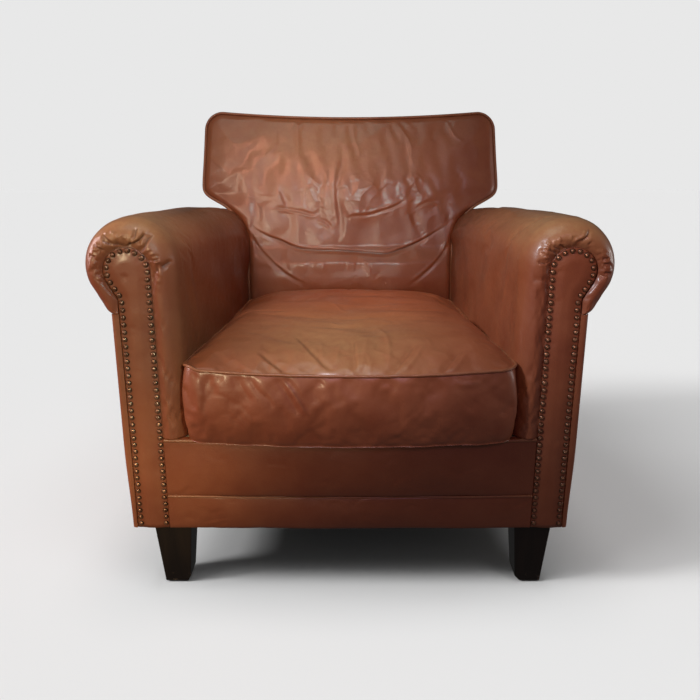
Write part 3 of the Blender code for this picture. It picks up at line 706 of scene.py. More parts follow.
# along the front edge and down: (kind, points right of the middle and height)
SEAT_BOX_CREASES = [
    (STRONG_RIDGE, [(-0.160, 0.416), (-0.150, 0.396), (-0.128, 0.384), (-0.124, 0.362)]),
    (RIDGE, [(-0.180, 0.414), (-0.172, 0.396), (-0.158, 0.380)]),
    (STRONG_RIDGE, [(-0.122, 0.417), (-0.106, 0.402), (-0.092, 0.376), (-0.080, 0.352)]),
    (TUCK, [(-0.108, 0.417), (-0.086, 0.392), (-0.066, 0.356)]),
    (RIDGE, [(-0.086, 0.380), (-0.068, 0.345)]),
    (RIDGE, [(-0.058, 0.416), (-0.038, 0.404)]),
    (SWELL, [(-0.035, 0.408), (-0.012, 0.372)]),
    (HOLLOW, [(-0.146, 0.417), (-0.138, 0.400), (-0.112, 0.372)]),
    (SWELL, [(0.075, 0.416), (0.064, 0.392), (0.055, 0.365)]),
    (SWELL, [(0.150, 0.412), (0.130, 0.395), (0.108, 0.372)]),
    (TUCK, [(0.165, 0.412), (0.187, 0.406), (0.215, 0.409)]),
    (HOLLOW, [(0.245, 0.408), (0.212, 0.394), (0.185, 0.380)]),
    (SWELL, [(0.205, 0.380), (0.190, 0.362)]),
]


def seat_wall(top, rng):
    """Rings of the cushion's boxing below its top edge, fullest in front, and the painted shade in their
    creases.
    """
    levels = np.linspace(0, 1, 40)
    out = outside(top)
    is_front = smooth((SEAT_SPAN[0] + 0.03 - (top[:, 1] - FRONT)) / 0.02)
    rings = []
    for k in levels:
        belly = 0.0095 * math.sin(math.pi * min(1.0, k * 1.03)) ** 0.7 if 0 < k < 0.97 else 0.0
        tuck = -0.0010 * smooth((k - 0.93) / 0.07)
        ring = top.copy()
        ring[:, :2] += out * (belly * (0.2 + 0.8 * is_front) + tuck)[:, None]
        ring[:, 0] += 0.0045 * is_front * smooth(k / 0.6) * np.clip(top[:, 0] / SEAT_HALF, -0.2, 1.0)
        ring[:, 2] = top[:, 2] + (SEAT_LOW.z - top[:, 2]) * k
        rings.append(ring)
    # the strip is cut at the back, so that it can be handled as a grid
    start = len(top) // 2 + SEAT_NX // 2
    order = np.r_[np.arange(start, len(top)), np.arange(start + 1)]
    strip = np.stack(rings)[:, order]
    flat = strip[..., [0, 2]].reshape(-1, 2)
    height, dark = crease_field(flat, kinds(SEAT_BOX_CREASES))
    height += 0.0009 * crumple(flat, 0.040, 8.6) + waves(flat, rng, 0.07, 0.0008)
    shown = smooth(np.repeat(levels, len(order)) / 0.08) * np.tile(is_front[order], len(levels))
    strip = raised(strip, height * shown)
    strip = strip + settled(strip, 0.07, 0.006, 0.5, 0.0026)
    back = np.argsort(order[:-1])
    return strip[1:, back], (dark * shown).reshape(len(levels), -1)[1:, back]


def seat_chart():
    """Places (x, y) of the cushion's top, with closer rows at the front, where the gathers are."""
    front, right, back, left = seat_outline()
    front, back = resample(front, SEAT_NX), resample(back, SEAT_NX)
    pace = np.linspace(0, 1, SEAT_NY)
    pace = 0.72 * pace + 0.28 * pace ** 2
    right, left = (resample(side, 2000)[(pace * 1999).astype(int)] for side in (right, left))
    return coons(front, right, back, left)


def seat_form(x, y):
    """Height of the stuffed top before its creases, and the distance to its nearest edge."""
    half = seat_half(y)
    to_side = half - np.abs(x)
    to_front = y - (SEAT_SPAN[0] - SEAT_BULGE * (1 - np.clip(x / 0.243, -1, 1) ** 2))
    to_rear = SEAT_SPAN[1] - y
    turn = 0.030 + 0.016 * smooth((y - 0.25) / 0.28)
    rise = (1 - np.exp(-to_side / turn)) * (1 - np.exp(-to_front / 0.050)) * (1 - np.exp(-to_rear / 0.014))
    edge_z = SEAT_EDGE_Z + 0.0050 * np.clip(np.abs(x) / half, 0, 1) ** 3 * (1 - smooth(y / 0.25))
    edge_z = edge_z - 0.012 * smooth((y - 0.05) / 0.40)
    sag = -0.005 * np.exp(-((x / 0.15) ** 2 + ((y - 0.25) / 0.15) ** 2))
    crown = SEAT_TOP_Z + 0.006 - 0.0135 * smooth((y - 0.22) / 0.30)
    return edge_z + (crown - edge_z) * rise + sag * rise, np.minimum.reduce([to_side, to_front, to_rear])


def seat_relief(flat, to_edge, rng):
    """Height of the gathers, creases and waves in the cushion's top, and the painted shade in its creases."""
    height, dark = crease_field(flat, kinds(SEAT_TOP_CREASES))
    front_zone = np.exp(-((flat[:, 1] + 0.02) / 0.07) ** 2)
    height += 0.0011 * crumple(flat * np.array([1.0, 0.6]), 0.040, 5.2) * (0.35 + 0.65 * front_zone)
    height += waves(flat, rng, 0.11, 0.0009) + waves(flat * np.array([0.5, 1.0]), rng, 0.035, 0.00025)
    fade = smooth(to_edge / 0.007)
    return height * fade, dark * fade


def seat_cushion():
    rng = np.random.default_rng(11)
    chart = seat_chart()
    x, y = chart[..., 0], chart[..., 1]
    z, to_edge = seat_form(x, y)
    flat = chart.reshape(-1, 2)
    height, dark = seat_relief(flat, to_edge.ravel(), rng)
    grid = raised(middle(x, y, z), height)
    grid = grid + settled(grid, 0.08, 0.005, 0.6, 0.0022)

    top = grid.reshape(-1, 3)[border(SEAT_NY, SEAT_NX)]
    wall, wall_dark = seat_wall(top, rng)
    points, faces = capped(grid, list(wall))
    rub = 0.8 * np.exp(-(((flat[:, 0] + 0.02) / 0.16) ** 2 + ((flat[:, 1] - 0.08) / 0.20) ** 2))
    # painted shade in the creases of the top and of the boxing
    made = piece("seat_cushion_cover", ["seat_cushion"], points, faces, CUSHION,
                 crease=np.r_[dark, wall_dark.ravel()], rub=rub)
    wobble = waves(top[:, :2], rng, 0.05, 0.0004)
    path = resample(top + np.c_[outside(top) * 0.0006, wobble], 620, closed=True)
    piping("seat_cushion_top_piping", path, CUSHION, 0.0027, closed=True)


# ---- back -----------------------------------------------------------------

BACK_OUTLINE = [
    (0.2970, 0.2366), (0.4400, 0.2366), (0.5300, 0.2370), (0.5470, 0.2385), (0.5600, 0.2420),
    (0.5720, 0.2465), (0.5840, 0.2508), (0.5950, 0.2557), (0.6120, 0.2730), (0.6280, 0.2930),
    (0.6380, 0.3130), (0.6490, 0.3340), (0.6580, 0.3420), (0.6720, 0.3440), (0.7300, 0.3400),
    (0.7950, 0.3370),
]


def saddle(x, z):
    share = np.clip((z - SADDLE_FROM_Z) / (BACK_HIGH.z - SADDLE_FROM_Z), 0, 1)
    return -SADDLE * share * (1 - np.minimum(1.0, np.abs(x) / 0.30) ** 2)


def leaning(x, z, inset):
    height = z + saddle(x, z)
    return middle(x, rear(height, inset), height)


def back_side():
    """Right edge of the back from the bottom to where the top corner is half turned, and the
    rest of it up to the middle of the top."""
    side = rounded([(w, z) for z, w in BACK_OUTLINE], 3)
    corner_u, corner_z = side[-1][0] - BACK_CORNER_R, BACK_HIGH.z - BACK_CORNER_R
    corner = arc(corner_u, corner_z, BACK_CORNER_R, 0, 90, 20)
    top = np.vstack([corner[10:], [[0.0, BACK_HIGH.z]]])
    return np.vstack([side, corner[1:11]]), top


def back_top_edge(top, count):
    return resample(np.vstack([mirrored(top), top[::-1][1:]]), count)


def level_line(half, z, count):
    return np.stack([np.linspace(-half, half, count), np.full(count, z)], axis=-1)


# (kind, points right of the middle and height)
BACK_CREASES = [
    # the deep fold over the lumbar part, and the folds that run down from its ends
    (FOLD, [(-0.243, 0.600), (-0.224, 0.574), (-0.190, 0.558), (-0.165, 0.550), (-0.140, 0.538),
            (-0.119, 0.531), (-0.081, 0.527), (-0.039, 0.527), (0.012, 0.525), (0.062, 0.521),
            (0.089, 0.520), (0.114, 0.528), (0.145, 0.538), (0.177, 0.554), (0.208, 0.573), (0.240, 0.592)]),
    (TUCK, [(-0.238, 0.576), (-0.215, 0.534), (-0.186, 0.506), (-0.165, 0.488), (-0.144, 0.472),
            (-0.119, 0.458), (-0.096, 0.449)]),
    (turned(TUCK), [(0.237, 0.553), (0.214, 0.516), (0.189, 0.490), (0.166, 0.470), (0.135, 0.447)]),
    # the zigzag across the middle
    (turned(STEP), [(-0.190, 0.621), (-0.157, 0.619), (-0.131, 0.615), (-0.110, 0.611), (-0.090, 0.604),
                    (-0.069, 0.610)]),
    (turned(STEP), [(-0.078, 0.598), (-0.054, 0.587), (-0.044, 0.573)]),
    (STEP, [(-0.014, 0.600), (0.009, 0.608), (0.041, 0.608), (0.078, 0.619), (0.103, 0.627), (0.132, 0.644)]),
    (SWELL, [(-0.010, 0.606), (0.006, 0.612), (0.030, 0.612)]),
    # upright folds
    (turned(SOFT), [(-0.014, 0.750), (-0.028, 0.706), (-0.033, 0.672), (-0.030, 0.630), (-0.025, 0.601),
                    (-0.018, 0.578)]),
    (RIDGE, [(-0.172, 0.805), (-0.172, 0.766), (-0.200, 0.738)]),
    (RIDGE, [(-0.125, 0.824), (-0.121, 0.774), (-0.122, 0.735)]),
    (HOLLOW, [(-0.110, 0.822), (-0.108, 0.774), (-0.110, 0.725)]),
    (RIDGE, [(0.005, 0.826), (0.007, 0.801), (0.012, 0.777), (0.022, 0.756), (0.022, 0.733)]),
    (HOLLOW, [(-0.004, 0.824), (0.000, 0.790), (0.008, 0.760)]),
    (RIDGE, [(0.110, 0.824), (0.124, 0.801), (0.136, 0.784), (0.143, 0.761), (0.141, 0.738), (0.152, 0.712)]),
    (HOLLOW, [(0.095, 0.822), (0.108, 0.790), (0.122, 0.765)]),
    (RIDGE, [(0.228, 0.822), (0.234, 0.805), (0.246, 0.784), (0.266, 0.770)]),
    (HOLLOW, [(0.215, 0.818), (0.226, 0.788), (0.248, 0.766)]),
    # the crumpled middle
    (SWELL, [(-0.116, 0.690), (-0.100, 0.699), (-0.084, 0.692)]),
    (RIDGE, [(-0.098, 0.697), (-0.081, 0.681), (-0.066, 0.671)]),
    (RIDGE, [(-0.105, 0.664), (-0.089, 0.674), (-0.074, 0.660)]),
    (RIDGE, [(-0.058, 0.708), (-0.052, 0.672)]),
    (turned(SOFT), [(-0.165, 0.667), (-0.152, 0.633), (-0.143, 0.622)]),
    (HOLLOW, [(-0.062, 0.700), (-0.075, 0.640), (-0.064, 0.612)]),
    (SWELL, [(-0.030, 0.700), (-0.018, 0.680), (-0.014, 0.664)]),
    (HOLLOW, [(0.000, 0.705), (0.006, 0.655), (-0.008, 0.620)]),
    (SWELL, [(0.010, 0.700), (0.014, 0.682)]),
    (RIDGE, [(0.017, 0.664), (0.037, 0.667), (0.052, 0.675), (0.064, 0.665)]),
    (HOLLOW, [(0.066, 0.680), (0.072, 0.643), (0.092, 0.626)]),
    (SWELL, [(0.074, 0.692), (0.096, 0.688), (0.108, 0.672)]),
    (RIDGE, [(0.138, 0.708), (0.151, 0.681), (0.155, 0.669), (0.161, 0.654)]),
    (RIDGE, [(0.148, 0.700), (0.166, 0.690), (0.170, 0.672)]),
    (SWELL, [(0.140, 0.700), (0.158, 0.684)]),
    (HOLLOW, [(0.124, 0.700), (0.136, 0.672), (0.140, 0.640)]),
    (turned(STEP), [(0.155, 0.622), (0.183, 0.634), (0.208, 0.632)]),
    (turned(SOFT), [(0.142, 0.612), (0.152, 0.580)]),
    (SWELL, [(0.175, 0.690), (0.190, 0.660), (0.200, 0.640)]),
    # near the edges
    (RIDGE, [(-0.332, 0.741), (-0.315, 0.724), (-0.289, 0.704)]),
    (RIDGE, [(-0.326, 0.688), (-0.314, 0.682), (-0.306, 0.676)]),
    (RIDGE, [(0.030, 0.512), (0.045, 0.492), (0.047, 0.470)]),
    (SWELL, [(-0.150, 0.490), (-0.122, 0.497), (-0.096, 0.488)]),
    (SWELL, [(-0.085, 0.496), (-0.066, 0.486), (-0.052, 0.492)]),
    (SWELL, [(-0.010, 0.494), (0.014, 0.490)]),
]

BACK_NX, BACK_NZ = 280, 289


def back_face(x, z):
    """Depth of the stuffed front over the back's outline, before its creases."""
    base = FACE_Y + FACE_RAKE * 0.02 * np.log1p(np.exp((z - FACE_Z) / 0.02))
    lumbar = 0.013 * smooth((0.540 - z) / 0.045) * (1 - 0.5 * smooth((0.470 - z) / 0.06))
    lumbar = lumbar * (1 - np.clip(np.abs(x) / 0.24, 0, 1) ** 4)
    chest = 0.012 * np.exp(-(((z - 0.665) / 0.085) ** 2)) * np.exp(-((x / 0.22) ** 2))
    return base - lumbar - chest


def back_chart(side, top):
    """Places (x, z) of the back's face."""
    right = resample(side, 4000)[(np.linspace(0, 1, BACK_NZ) * 3999).astype(int)]
    return coons(level_line(*right[0], BACK_NX), right, back_top_edge(top, BACK_NX), mirrored(right))


def back_form(flat, away):
    """The stuffed face before its creases, turned in towards its edge."""
    near = np.clip(1 - away / 0.016, 0, 1)
    pillow = np.clip(1 - away / 0.10, 0, 1) * smooth((flat[:, 1] - 0.60) / 0.06)
    dip = 0.008 * near ** 3 + 0.011 * pillow ** 2.5
    height_z = flat[:, 1] + saddle(flat[:, 0], flat[:, 1])
    return middle(flat[:, 0], back_face(flat[:, 0], height_z) + dip, height_z)


def back_relief(flat, away, rng):
    """Height of the back's folds, wrinkles and waves, and the painted shade in its creases and along its edge
    seam.
    """
    height, dark = crease_field(flat, kinds(BACK_CREASES))
    worn = np.exp(-(((flat[:, 0] - 0.01) / 0.17) ** 2 + ((flat[:, 1] - 0.655) / 0.055) ** 2))
    worn += 0.6 * np.exp(-(((flat[:, 0] + 0.02) / 0.16) ** 2 + ((flat[:, 1] - 0.487) / 0.022) ** 2))
    height = 0.72 * height + 0.0009 * crumple(flat, 0.034, 3.1, 0.16) * worn
    height += waves(flat, rng, 0.12, 0.0008) + waves(flat, rng, 0.05, 0.0003)
    fade = smooth(away / 0.008)
    # painted shade along the creases, and a band of painted shade at the edge where the face meets the piping
    dark = np.maximum(dark * (0.25 + 0.75 * fade), 0.7 * np.exp(-((away / 0.0022) ** 2)))
    return height * fade, dark


def back_rings(rim, rim_chart, out):
    """Rings from the face's edge back to the boxing, puffed out a little above the arms."""
    last = leaning(rim_chart[:, 0], rim_chart[:, 1], CUSHION_BACK)
    above = smooth((rim_chart[:, 1] - 0.68) / 0.03)
    rings = []
    for k in np.linspace(0, 1, 9)[1:]:
        ring = rim + (last - rim) * k
        puff = 0.0022 * math.sin(math.pi * k)
        ring[:, 0] += out[:, 0] * puff * above
        ring[:, 2] += out[:, 1] * puff * above
        rings.append(ring)
    return rings


def back_piping(rim, rim_chart, out):
    """The piping runs up one side, over the top and down the other."""
    keep = rim_chart[:, 1] > 0.40
    order = np.roll(np.arange(len(rim)), -int(np.argmax(~keep)))
    order = order[keep[order]]
    path = rim[order] + np.stack([out[order, 0], np.zeros(len(order)), out[order, 1]], axis=-1) * 0.0024
    path[:, 1] += 0.0006
    piping("back_cushion_piping", resample(path, 900), CUSHION, 0.0032)


def back_cushion():
    rng = np.random.default_rng(23)
    side, top = back_side()
    chart = back_chart(side, top)
    flat = chart.reshape(-1, 2)
    loop = border(BACK_NZ, BACK_NX)
    away = distance_to(np.vstack([resample(side, 150), resample(top, 50)[1:]]), np.abs(flat))
    away[loop] = 0.0
    height, dark = back_relief(flat, away, rng)
    grid = raised(back_form(flat, away).reshape(BACK_NZ, BACK_NX, 3), height)
    grid = grid + settled(grid, 0.14, 0.0018, 0.9, 0.0006)

    rim, rim_chart = grid.reshape(-1, 3)[loop], flat[loop]
    out = outside(rim_chart)
    points, faces = capped(grid, back_rings(rim, rim_chart, out))
    rub = 0.5 * np.exp(-(((flat[:, 0] + 0.1) / 0.25) ** 2 + ((flat[:, 1] - 0.76) / 0.09) ** 2))
    made = piece("back_cushion_cover", ["back_cushion"], points, faces, CUSHION, crease=dark, rub=rub)
    back_piping(rim, rim_chart, out)


def back_boxing():
    """The strip round the back's edge behind the cushion."""
    side, top = back_side()
    half = np.vstack([side[side[:, 1] > 0.592], top[1:]])
    path = resample(np.vstack([half, mirrored(half[::-1][1:])]), 420)
    way = np.gradient(path, axis=0)
    way /= np.linalg.norm(way, axis=1, keepdims=True)
    inward = np.stack([-way[:, 1], way[:, 0]], axis=-1)
    insets = np.linspace(CUSHION_BACK - 0.0003, OUTSIDE_THICK + 0.0003, 12)
    lines = []
    for k, inset in enumerate(insets):
        puff = 0.0012 * math.sin(math.pi * k / 11)
        out = path - inward * puff
        lines.append(leaning(out[:, 0], out[:, 1], inset))
    inner = path + inward * 0.005
    for inset in insets[::-11]:
        lines.append(leaning(inner[:, 0], inner[:, 1], inset))
    points = np.stack(lines, axis=1)
    count, ring = points.shape[:2]
    points = points.reshape(-1, 3)
    index = np.arange(count * ring).reshape(count, ring)
    faces = []
    for a, b in zip(index[:-1], index[1:]):
        faces += between(a, b)
    faces += [index[0].tolist(), index[-1][::-1].tolist()]
    piece("back_boxing_cover", ["back_boxing"], points, outward(points, faces), BODY, sharp=50,
          crease=0.0, rub=0.1)


# ---- arms -----------------------------------------------------------------

ROLL_END = -22.5
UNDER = [(0.4070, 0.5380), (0.3955, 0.5185), (0.3875, 0.5135), (0.3803, 0.5131)]
ARM_REAR_INSET = OUTSIDE_THICK + 0.0003


def keyhole(radius, inner, outer, steps):
    """The facing's outline from its inner foot over the head to its outer foot."""
    start = 180 - math.degrees(math.acos(min(1.0, (HEAD_U - inner) / radius)))
    head = arc(HEAD_U, HEAD_Z, radius, start, HEAD_END_ANGLE, steps)
    fall = (head[-1][0] - outer) / math.tan(math.radians(-HEAD_END_ANGLE))
    return [(inner, BODY_BOTTOM)], head, [(outer, head[-1][1] - fall), (outer, BODY_BOTTOM)]


def arm_section():
    """Outer points of the padding's section and, for each, a point on the facing's edge."""
    foot, head, stem = keyhole(HEAD_R + 0.0005, STEM_IN_U - 0.0005, STEM_OUT_U + 0.0005, 84)
    channel_u = foot[0][0]
    low = RAIL_TOP + 0.0008
    face_z = np.linspace(low, ROLL_Z - 0.004, 84)
    outer = [np.stack([np.full(84, ARM_INNER_U), face_z], axis=-1)]
    inner = [np.stack([np.full(84, channel_u), face_z], axis=-1)]
    roll = arc(ROLL_U, ROLL_Z, ROLL_R, 180, ROLL_END, 162)
    outer.append(roll)
    inner.append(resample(head, 163))
    under = resample(np.vstack([roll[-1:], rounded(UNDER, 2)]), 25)[1:]
    neck = np.array([head[-1], stem[0], (stem[0][0], 0.5240), (stem[0][0], 0.5131)])
    outer.append(under)
    inner.append(resample(neck, 25)[1:])
    return np.vstack(outer), np.vstack(inner)


# how the padding's front rounds from the facing's seam to the arm's surface: (share, depth)
FRONT_PROFILE = [(0.0, 0.0014), (0.03, 0.0006), (0.08, -0.0008), (0.17, -0.0028), (0.30, -0.0046),
                 (0.48, -0.0040), (0.66, 0.0008), (0.82, 0.0088), (0.94, 0.0188), (1.0, 0.0330)]

PLEAT, NIP = (0.0038, 0.0021, 0.0012), (0.0017, 0.0016, 0.0006)
PUCKER, ROLLED = (-0.0013, 0.0020, 0.0), (-0.0015, 0.0030, 0.0)

# (angle round the facing's head, distance from its middle) for the gathers of each arm
ARM_GATHERS = {
    -1: [
        (PLEAT, [(88, 0.0375), (101, 0.043), (113, 0.050), (118, 0.060), (119, 0.075)][::-1]),
        (PLEAT, [(128, 0.0375), (131, 0.046), (129, 0.055), (126, 0.066), (128, 0.080)]),
        (PLEAT, [(-172, 0.0385), (176, 0.050), (171, 0.063), (168, 0.084)]),
        (turned(NIP), [(97, 0.0385), (86, 0.043), (66, 0.047), (58, 0.056), (57, 0.066)]),
        (NIP, [(72, 0.046), (64, 0.058), (62, 0.070)]),
        (NIP, [(50, 0.044), (44, 0.056), (41, 0.068)]),
        (NIP, [(110, 0.054), (108, 0.066), (107, 0.078)]),
        (PUCKER, [(104, 0.056), (103, 0.070)]),
        (PUCKER, [(115, 0.062), (115, 0.076)]),
        (PUCKER, [(97, 0.048), (94, 0.056)]),
        (PUCKER, [(92, 0.052), (88, 0.060)]),
        (PUCKER, [(82, 0.052), (79, 0.062)]),
        (PUCKER, [(75, 0.060), (74, 0.070)]),
        (PUCKER, [(67, 0.062), (65, 0.072)]),
        (PUCKER, [(60, 0.058), (56, 0.070)]),
        (PUCKER, [(48, 0.050), (46, 0.064)]),
        (PUCKER, [(40, 0.052), (36, 0.064)]),
        (PUCKER, [(136, 0.047), (140, 0.058)]),
        (PUCKER, [(145, 0.046), (148, 0.058)]),
        (PUCKER, [(153, 0.047), (156, 0.058)]),
        (PUCKER, [(162, 0.047), (164, 0.060)]),
        (NIP, [(158, 0.046), (160, 0.058)]),
        (NIP, [(28, 0.050), (26, 0.064)]),
        (ROLLED, [(4, 0.0440), (-16, 0.0440), (-36, 0.0450), (-56, 0.0475), (-68, 0.0505)]),
        (PUCKER, [(-71, 0.0600), (-83, 0.0620)]),
    ],
    1: [
        (NIP, [(134, 0.0385), (138, 0.048), (141, 0.058)]),
        (NIP, [(122, 0.0385), (128, 0.046), (133, 0.056)]),
        (turned(NIP), [(112, 0.0385), (118, 0.045), (122, 0.053)]),
        (NIP, [(96, 0.046), (82, 0.050), (74, 0.060), (74, 0.074)]),
        (PUCKER, [(100, 0.050), (89, 0.052), (81, 0.058), (79, 0.070)]),
        (PUCKER, [(146, 0.052), (148, 0.062)]),
        (PUCKER, [(139, 0.054), (141, 0.064)]),
        (PUCKER, [(133, 0.058), (135, 0.066)]),
        (PUCKER, [(152, 0.046), (154, 0.056)]),
        (NIP, [(164, 0.046), (166, 0.060)]),
        (PUCKER, [(118, 0.054), (117, 0.062)]),
        (NIP, [(-164, 0.044), (-168, 0.066)]),
        (NIP, [(26, 0.046), (24, 0.058)]),
        (NIP, [(16, 0.046), (14, 0.060)]),
        (PUCKER, [(8, 0.046), (6, 0.060)]),
        (NIP, [(0, 0.046), (-2, 0.060)]),
        (ROLLED, [(-8, 0.0440), (-26, 0.0445), (-46, 0.0460), (-62, 0.0485)]),
    ],
}


RANDOM_GATHERS = {-1: 70, 1: 36}


def round_head(angle, radius):
    """A place round the facing's head, from its middle."""
    return radius * math.cos(math.radians(angle)), radius * math.sin(math.radians(angle))


def arm_rings(side, outer, inner):
    """Rings of the padding, from the facing's seam over its round front and back along the arm."""
    scale = np.clip(np.linalg.norm(outer - inner, axis=1) / 0.038, 0.25, 1.0)
    rings = []
    for share, deep in resample(rounded(FRONT_PROFILE, 3), 36):
        u, z = (inner + (outer - inner) * share).T
        y = np.where(deep < 0.0, deep * scale, deep * np.clip(scale, 0.35, 1.0))
        rings.append(place(side, u, y, z + arm_drop(y, z)))
    u, z = outer.T
    start, end = y, rear_end(z, ARM_REAR_INSET)
    for step in np.r_[np.linspace(0, 0.12, 46)[1:], np.linspace(0.12, 1.0, 104)[1:]]:
        y = start + (end - start) * step
        rings.append(place(side, u, y, z + arm_drop(y, z)))
    return np.stack(rings)


def arm_hollow(side, inner, points):
    """The hollow that the frame runs through: its points, and the faces that close the padding."""
    total, count = points.shape[:2]
    u, z = inner.T
    every = [*range(0, total - 1, 12), total - 1]
    extra, loops = [], [np.arange(count)]
    for r in every[1:]:
        y = np.full(count, max(points[r, 0, 1] - FRONT, FRONT_PROFILE[0][1] + 0.002))
        if r == total - 1:
            y = rear_end(z, ARM_REAR_INSET)
        extra.append(place(side, u, y, z + arm_drop(y, z)))
        loops.append((total + len(extra) - 1) * count + np.arange(count))
    faces = []
    for a, b in zip(loops[:-1], loops[1:]):
        faces += between(b, a, closed=False)
    faces += between(loops[-1], (total - 1) * count + np.arange(count), closed=False)
    for column in (0, count - 1):
        for (r0, r1), (c0, c1) in zip(zip(every[:-1], every[1:]), zip(loops[:-1], loops[1:])):
            edge = [r * count + column for r in range(r0, r1 + 1)]
            loop = edge + [int(c1[column])] + ([int(c0[column])] if r0 else [])
            faces.append(loop if column == 0 else loop[::-1])
    return np.vstack(extra), faces


def arm_strokes(side, rng):
    """The gathers round a facing's head, and small random ones between them."""
    strokes = [([round_head(*spot) for spot in polar], *kind) for kind, polar in ARM_GATHERS[side]]
    for _ in range(RANDOM_GATHERS[side]):
        a = rng.uniform(-15, 205)
        start = rng.uniform(0.0375, 0.050)
        reach = start + rng.uniform(0.006, 0.016)
        deep = rng.uniform(-0.0006, 0.0009)
        wide = rng.uniform(0.0013, 0.0020)
        strokes.append(([round_head(a, start), round_head(a + rng.normal(0, 4), reach)], deep, wide, 0.0003))
    return strokes


def head_chart(side, surface):
    """Polar places round the facing's head, unrolled to metres and carried on along the arm."""
    depth = surface[:, 1] - FRONT
    u = side * surface[:, 0] + SPLAY * depth - HEAD_U
    z = surface[:, 2] - HEAD_Z
    away = np.hypot(u, z) + np.maximum(0.0, depth) * 0.9
    around = np.arctan2(z, u)
    return np.stack([away * np.cos(around), away * np.sin(around)], axis=-1)


def arm_relief(side, surface, outer, rng):
    """Height of the gathers in front and of the waves along the arm, and the painted shade in the gathers and
    along the seam by the facing.
    """
    depth = surface[:, 1] - FRONT
    total = len(surface) // len(outer)
    height, dark = crease_field(head_chart(side, surface), arm_strokes(side, rng))
    front_zone = smooth((0.12 - depth) / 0.05)
    height, dark = height * front_zone, dark * front_zone
    # chart of the body: distance round the section, and depth
    run = np.r_[0, np.cumsum(np.linalg.norm(np.diff(outer, axis=0), axis=1))]
    body = np.stack([np.tile(run, total), depth], axis=-1)
    height += waves(body, rng, 0.16, 0.0006) * smooth(depth / 0.05)
    height += 0.0005 * crumple(body, 0.07, 1.3 * side) * smooth((depth - 0.02) / 0.04)
    height *= np.tile(smooth(run / 0.012) * smooth((run[-1] - run) / 0.010), total)
    height *= np.repeat(smooth(np.arange(total) / 2.0), len(outer))
    # painted shade along the seam at the facing, fading over the first rings
    seam = np.repeat(np.exp(-np.arange(total) / 1.6), len(outer))
    return height, np.maximum(dark, seam * 0.35)


def arm_pad(name, side):
    rng = np.random.default_rng(31 + side)
    outer, inner = arm_section()
    rings = arm_rings(side, outer, inner)
    surface = rings.reshape(-1, 3)
    hollow, closing = arm_hollow(side, inner, rings)
    points = np.vstack([surface, hollow])
    faces = outward(points, rows(0, *rings.shape[:2]) + closing)
    height, dark = arm_relief(side, surface, outer, rng)
    points = pushed_out(points, faces, height)
    grid = points[:len(surface)].reshape(rings.shape)
    points[:len(surface)] += settled(grid, 0.12, 0.003, 0.5, 0.002).reshape(-1, 3)
    depth, z = surface[:, 1] - FRONT, surface[:, 2]
    on_top = np.exp(-(((z - ROLL_Z - ROLL_R) / 0.045) ** 2)) * (0.45 + 0.55 * np.exp(-((depth / 0.16) ** 2)))
    made = piece(name + "_arm_pad_cover", [name + "_arm_pad"], points, faces, BODY,
                 crease=dark, rub=np.clip(on_top, 0, 1) * 0.8)


NAILS = 82
NAIL_R, NAIL_TALL, NAIL_SIDES = 0.0043, 0.0025, 20
# rings of a nail head, from its edge to near its tip: (share of its radius, of its height, tarnish and
# painted rim shade)
NAIL_DOME = [(1.0, -0.10, 1.0), (1.0, 0.10, 1.0), (0.93, 0.36, 0.85), (0.76, 0.66, 0.35), (0.50, 0.88, 0.05),
             (0.22, 0.985, 0.0)]
FACING_ROWS, FACING_COLUMNS = 170, 30


def nail_places():
    """Middles of the nails round a facing, in (u, z), from the inner foot to the outer foot."""
    foot, head, stem = keyhole(0.0328, 0.3205, 0.3645, 40)
    path = np.vstack([foot, head, stem])
    path[0, 1] = path[-1, 1] = BODY_BOTTOM + 0.0085
    return resample(path, NAILS)


def facing_chart(outline):
    """Places (u, z) over the facing, in rows that run across it, closer near its top."""
    top = int(np.argmax(outline[:, 1]))
    inner_edge, outer_edge = outline[:top + 1], outline[top:][::-1]
    t = np.linspace(0, 1, FACING_ROWS)
    z = BODY_BOTTOM + (outline[top][1] - 0.0004 - BODY_BOTTOM) * np.sin(t * math.pi / 2) ** 0.9
    low_u = np.interp(z, inner_edge[:, 1], inner_edge[:, 0])
    high_u = np.interp(z, outer_edge[:, 1], outer_edge[:, 0])
    u = low_u[:, None] + (high_u - low_u)[:, None] * np.linspace(0, 1, FACING_COLUMNS)[None, :]
    return np.stack([u.ravel(), np.repeat(z, FACING_COLUMNS)], axis=-1)


